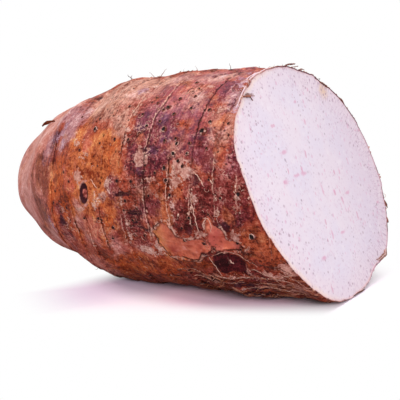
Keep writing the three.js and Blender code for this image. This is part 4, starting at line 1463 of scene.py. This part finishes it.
# %% Scraps
def flake_shape(seed):
    rolls = np.random.default_rng(seed)
    turns = (np.arange(7) + rolls.uniform(-0.3, 0.3, 7)) * 2 * np.pi / 7
    reach = rolls.uniform(0.55, 1.15, 7)
    across, along = reach * np.cos(turns) * 0.55, reach * np.sin(turns)
    lift = 0.1 + 0.22 * np.clip(across, 0, None) + 0.1 * rolls.random(7)
    top = np.stack([across, along, lift + 0.05], 1)
    foot = np.stack([across * 0.94, along * 0.94, lift - 0.06], 1)
    points = np.concatenate([top, foot, [[0, 0, 0.12]], [[0, 0, -0.25]]])
    here, after = np.arange(7), (np.arange(7) + 1) % 7
    sides = np.stack([here, here + 7, after + 7, after], 1).tolist()
    upper = np.stack([here, after, np.full(7, 14)], 1).tolist()
    lower = np.stack([after + 7, here + 7, np.full(7, 15)], 1).tolist()
    return points, sides + upper + lower, np.concatenate([np.ones(14), [0, 0]])


def along_group(group, count, spread):
    """Random places along ring segments, each given as a patch."""
    made = []
    for _ in range(count):
        at, turn, _, wide, _ = group[chance.integers(len(group))]
        reach = wide / (GIRTH_RADIUS * swell(np.float64(at)))
        made.append((at + chance.normal(0, spread), turn + math.degrees(reach) * chance.uniform(-1, 1)))
    return made


flake_places = along_group(PATCHES["edged"], 60, 0.7) + along_group(PATCHES["pale"], 60, 1.5)
flake_places += along_group(patches["edged"][len(PATCHES["edged"]):], 150, 0.8)
scatter(
    "paper_scraps", [flake_shape(seed) for seed in range(8)], flake_places, dry,
    shades=chance.uniform(0.45, 1.05, len(flake_places)), smallest=0.35, largest=1.1, lean=0.2, spin=0.6,
    seed=23,
)
DRIED_SCRAPS = [  # station, angle, size
    (36, 300, 2.6), (168, 262, 2.6), (118, 96, 1.3), (123, 99, 1.6), (127, 101, 1.2), (137, 99, 1.3),
    (141, 101, 1.0),
]
scatter(
    "dried_scraps", [flake_shape(seed) for seed in range(30, 34)], DRIED_SCRAPS, dry,
    sizes=[scrap[2] for scrap in DRIED_SCRAPS], shades=0.2, smallest=0.9, largest=1.2, lean=0.4, spin=0.5,
    seed=31,
)

RIM_STRETCHES = [(228, 300, 40), (380, 470, 50), (120, 380, 30)]  # first angle, last angle, count
rim_turns = np.concatenate([chance.uniform(*stretch) for stretch in RIM_STRETCHES]) % 360
rim_at = np.interp(rim_turns, np.degrees(column_angle), cut_station(column_angle), period=360)
rim_places = list(zip(rim_at - chance.uniform(-0.1, 1.2, len(rim_turns)), rim_turns))
scatter(
    "rim_scraps", [flake_shape(seed) for seed in range(20, 28)], rim_places, dry,
    shades=chance.uniform(0.0, 1.0, len(rim_turns)), smallest=0.3, largest=0.8, lean=0.5, spin=3.14, seed=29,
)

# %% Strands, and dark tapes as painted crack shadows
STRANDS = [  # shade, width in mm, route as stations and angles
    (0.85, 0.42, [(161, 206), (162, 210), (164, 217)]),
    (0.7, 0.6, [(160, 218), (165, 219), (170, 219.5), (178, 218)]),
    (0.7, 0.36, [(162, 206), (165, 203.6), (168, 202.5), (173, 204), (178, 207), (181, 210)]),
    (0.9, 0.5, [(100, 171), (102, 174), (105, 176)]),
    (0.9, 0.6, [(157.5, 167), (161, 170), (163.5, 173)]),
    (0.85, 0.6, [(156.5, 175), (158, 185), (159.5, 193)]),
    (0.9, 0.5, [(162, 191), (162, 188), (163.5, 186), (165, 190), (164, 193)]),
    (0.85, 0.45, [(169, 181), (168.5, 188)]),
    (0.75, 0.4, [(178, 212), (186, 216), (194, 222)]), (0.75, 0.4, [(180, 219), (188, 217), (196, 214)]),
    (0.6, 0.35, [(184, 211), (188, 219), (190, 226)]), (0.6, 0.35, [(176, 224), (186, 222), (197, 225)]),
    (0.7, 0.35, [(170, 229), (180, 227), (192, 230)]), (0.6, 0.35, [(150, 222), (160, 224), (172, 223)]),
    (0.6, 0.35, [(140, 219), (150, 217), (158, 219)]), (0.6, 0.35, [(190, 213), (196, 219), (199, 226)]),
    # Tapes of shade 0 are dark strips laid along cracks and creases: painted shadow.
    (0.0, 0.55, [
        (133, 196), (134.5, 199), (136.5, 203), (137.5, 207), (139.5, 210), (143, 211.5), (150, 210.5),
        (157, 208), (160, 205.5),
    ]),
    (0.0, 0.6, [(134, 195), (137, 192), (140, 190)]),
    (0.0, 0.55, [(176, 201), (178, 206), (180, 209), (185, 208.5), (190, 209), (193.5, 211)]),
    (0.0, 0.6, [(124, 157), (126, 153), (129, 149.5)]),
    (0.0, 0.5, [(120, 186), (124, 187.5), (129, 186.5)]), (0.0, 0.5, [(119, 195), (125, 194), (131, 195.5)]),
    (0.0, 0.45, [(118, 178), (123, 177.5), (128, 179)]),
    (1.0, 1.0, [(168.8, 208), (169.4, 209.5), (170.6, 210.6)]),
]

# %% Fibres of the belly
BELLY_FIBRE_COUNT = 210
belly_fibres = []
for _ in range(BELLY_FIBRE_COUNT):
    at, turn, reach = chance.uniform(144, 200), chance.uniform(216, 246), chance.uniform(1, 5)
    slope = chance.normal(0, 0.7)
    route = [
        (at + reach * share, turn + reach * slope * share + chance.normal(0, 0.4)) for share in (0, 0.5, 1)
    ]
    belly_fibres.append((chance.choice([0.0, 0.1, 0.5, 0.7, 1.0, 1.3]), chance.uniform(0.2, 0.5), route))

# %% Threads at the cut
FACE_THREADS = [  # shade, width in mm, route as angle on the rim, mm in from it, and height over the cut
    (0.4, 1.1, [(133, 0.6, 0.3), (131, 2.2, 0.7), (129.5, 4.2, 0.7)]),
    (0.4, 0.6, [(133, 0, 0.3), (130, 3, 0.8), (127, 5.5, 0.9)]),
    (0.1, 0.6, [(131, 1, 0.3), (129.5, 3, 0.6), (130.5, 6, 0.9)]),
    (0.3, 0.5, [(130, 1, 0.4), (128.5, 3, 0.5), (126.5, 4.6, 0.7)]),
    (0.2, 0.9, [(85, 0, 0.3), (82, -0.6, 0.5), (78, -1.4, 0.6), (74.5, -2.1, 0.7)]),
    (0.2, 0.5, [(78, 0, 0.3), (75, -0.6, 0.5), (72, -1.6, 0.8)]),
    (0.2, 0.7, [(71, 0, 0.3), (68.5, -0.7, 0.4), (66, -0.9, 0.4)]),
    (0.1, 1.3, [(51, 0.5, 0), (47, 0.1, 0.1), (43, 0.4, 0)]),
    (0.15, 1.2, [(34, 0.4, 0), (31, -0.3, 0.1), (29, 0.3, 0)]),
    (0.2, 2.2, [(340.5, 0.3, 0), (338.6, -0.9, 0.1), (337.2, -1.4, 0.1)]),
    (0.25, 1.8, [(332.5, 0.3, 0), (331, -0.6, 0.1), (330, 0, 0)]),
    (0.45, 1.0, [(315.5, 0.5, 0), (312.5, -0.5, 0.1), (309, -0.1, 0.1), (304, 0.8, 0)]),
    (1.2, 0.9, [(314.5, 1.3, 0.1), (311.5, 0.6, 0.2), (308, 0.9, 0.2), (303, 1.9, 0.1)]),
    (0.5, 0.5, [(313.5, 2.2, 0.1), (310.5, 1.5, 0.2), (306, 2.0, 0.2), (302, 2.9, 0.1)]),
    (0.1, 0.7, [(276, -0.4, 0.1), (269, 0.0, 0.1), (262, 0.4, 0.1)]),
    (1.4, 1.0, [(140, -0.4, -0.8), (133, -0.3, -0.4), (124, -0.3, -0.5)]),
    (1.4, 1.1, [(125, -0.3, -0.7), (117, -0.3, -0.4), (110, -0.2, -0.6), (98, -0.1, -0.4)]),
    (1.5, 1.0, [(137, -0.8, -2.6), (128, -0.5, -1.7), (118, -0.6, -2.0), (108, -0.4, -1.4)]),
    (0.2, 0.5, [(136, -0.9, -2.2), (126, -0.6, -1.4), (115, -0.6, -1.5)]),
]
RAISED_FLAKE = (  # shade, width in mm, route as station, angle, and height over the skin
    0.15, 1.9, [(37, 122, 2.1), (39.5, 122, 2.0), (42, 122, 1.6), (45, 122, 1.0), (48, 122, 0.3)],
)
STRAND_STEP, STRAND_TREMOR = 0.8, 0.18  # in mm


# %% Tapes
def tape(path, out, width, rolls):
    """A thin flat tube along a path, with tapered ends."""
    heading = np.gradient(path, axis=0)
    side = np.cross(out, heading)
    side = side / np.linalg.norm(side, axis=1, keepdims=True)
    half_width = 0.5 * width * np.sin(np.linspace(0.15, math.pi - 0.15, len(path))) ** 0.4
    half_width = (half_width * rolls.uniform(0.6, 1.2, len(path)))[:, None]
    corners = [path + side * half_width, path + out * 0.22, path - side * half_width, path - out * 0.3]
    points = np.stack(corners, axis=1).reshape(-1, 3)
    points[:, 2] = np.maximum(points[:, 2], 0.05)
    faces = [[0, 1, 2, 3], [len(points) - 1 - corner for corner in range(4)]]
    for step in range(len(path) - 1):
        for here in range(4):
            after = (here + 1) % 4
            faces.append([step * 4 + here, step * 4 + 4 + here, step * 4 + 4 + after, step * 4 + after])
    return points, faces


def strand(route, width, seed):
    """A tape along a route over the skin, given as stations and angles."""
    rolls = np.random.default_rng(seed)
    route = np.array(route, float)
    legs = np.hypot(np.diff(route[:, 0]), np.diff(route[:, 1]))
    reach = np.concatenate([[0], np.cumsum(legs)])
    steps = np.linspace(0, reach[-1], max(6, int(reach[-1] / STRAND_STEP)))
    at = np.interp(steps, reach, route[:, 0]) + STRAND_TREMOR * rolls.normal(size=len(steps))
    turn = np.interp(steps, reach, route[:, 1]) + STRAND_TREMOR * rolls.normal(size=len(steps))
    path, out, _ = on_skin(at, turn)
    return tape(path, out, width, rolls)


def raised_flake(route, width, seed):
    """A torn flake of skin on a route of stations, angles and heights over the skin, its flat side to us."""
    rolls = np.random.default_rng(seed)
    at, turn, lift = np.array(route, float).T
    path, out, _ = on_skin(at, turn)
    return tape(path + out * lift[:, None], np.broadcast_to(towards_camera, path.shape), width, rolls)


def face_thread(route, width, seed):
    """A tape that starts at the rim of the cut and hangs over the face or sticks out past it."""
    rolls = np.random.default_rng(seed)
    steps = np.linspace(0, len(route) - 1, 4 * len(route))
    listed = np.array(route, float).T
    turn, inward, lift = (np.interp(steps, np.arange(len(route)), values) for values in listed)
    column = (turn % 360) / 360 * COLUMNS
    from_rim = between(np.stack([rim, rim]), np.zeros_like(column), column)
    way_in = between(np.stack([inwards, inwards]), np.zeros_like(column), column)
    path = from_rim + way_in * inward[:, None] + cut_normal * lift[:, None]
    return tape(path, np.broadcast_to(cut_normal, path.shape), width, rolls)


def tapes_object(name, made, finish):
    """One piece out of many tapes, each with a shade of its own."""
    all_points, all_faces, all_shades = [], [], []
    for shade, (points, faces) in made:
        first = sum(map(len, all_points))
        all_faces += [[corner + first for corner in face] for face in faces]
        all_points.append(points)
        all_shades.append(np.full(len(points), shade))
    piece = plain_mesh(name, np.concatenate(all_points), all_faces, finish)
    store(piece, "shade", np.concatenate(all_shades))
    piece.data.shade_smooth()
    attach(piece, "root")
    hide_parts("corm")
    print(name, "-", len(made), "tapes,", len(all_faces), "faces")


straw, straw_colour = fibre_finish("straw_fibre", *STRAW_TONES)
straw.shade(straw_colour, 0.8, None, **{"Specular IOR Level": 0.03})
tapes = [(shade, strand(route, width, seed)) for seed, (shade, width, route) in enumerate(STRANDS)]
tapes += [(shade, face_thread(route, width, seed)) for seed, (shade, width, route) in enumerate(FACE_THREADS)]
tapes_object("skin_strands", tapes, dry)
tapes = [(shade, strand(route, width, seed)) for seed, (shade, width, route) in enumerate(belly_fibres)]
shade, width, route = RAISED_FLAKE
tapes.append((shade, raised_flake(route, width, 2)))
tapes_object("straw_fibres", tapes, straw.material)
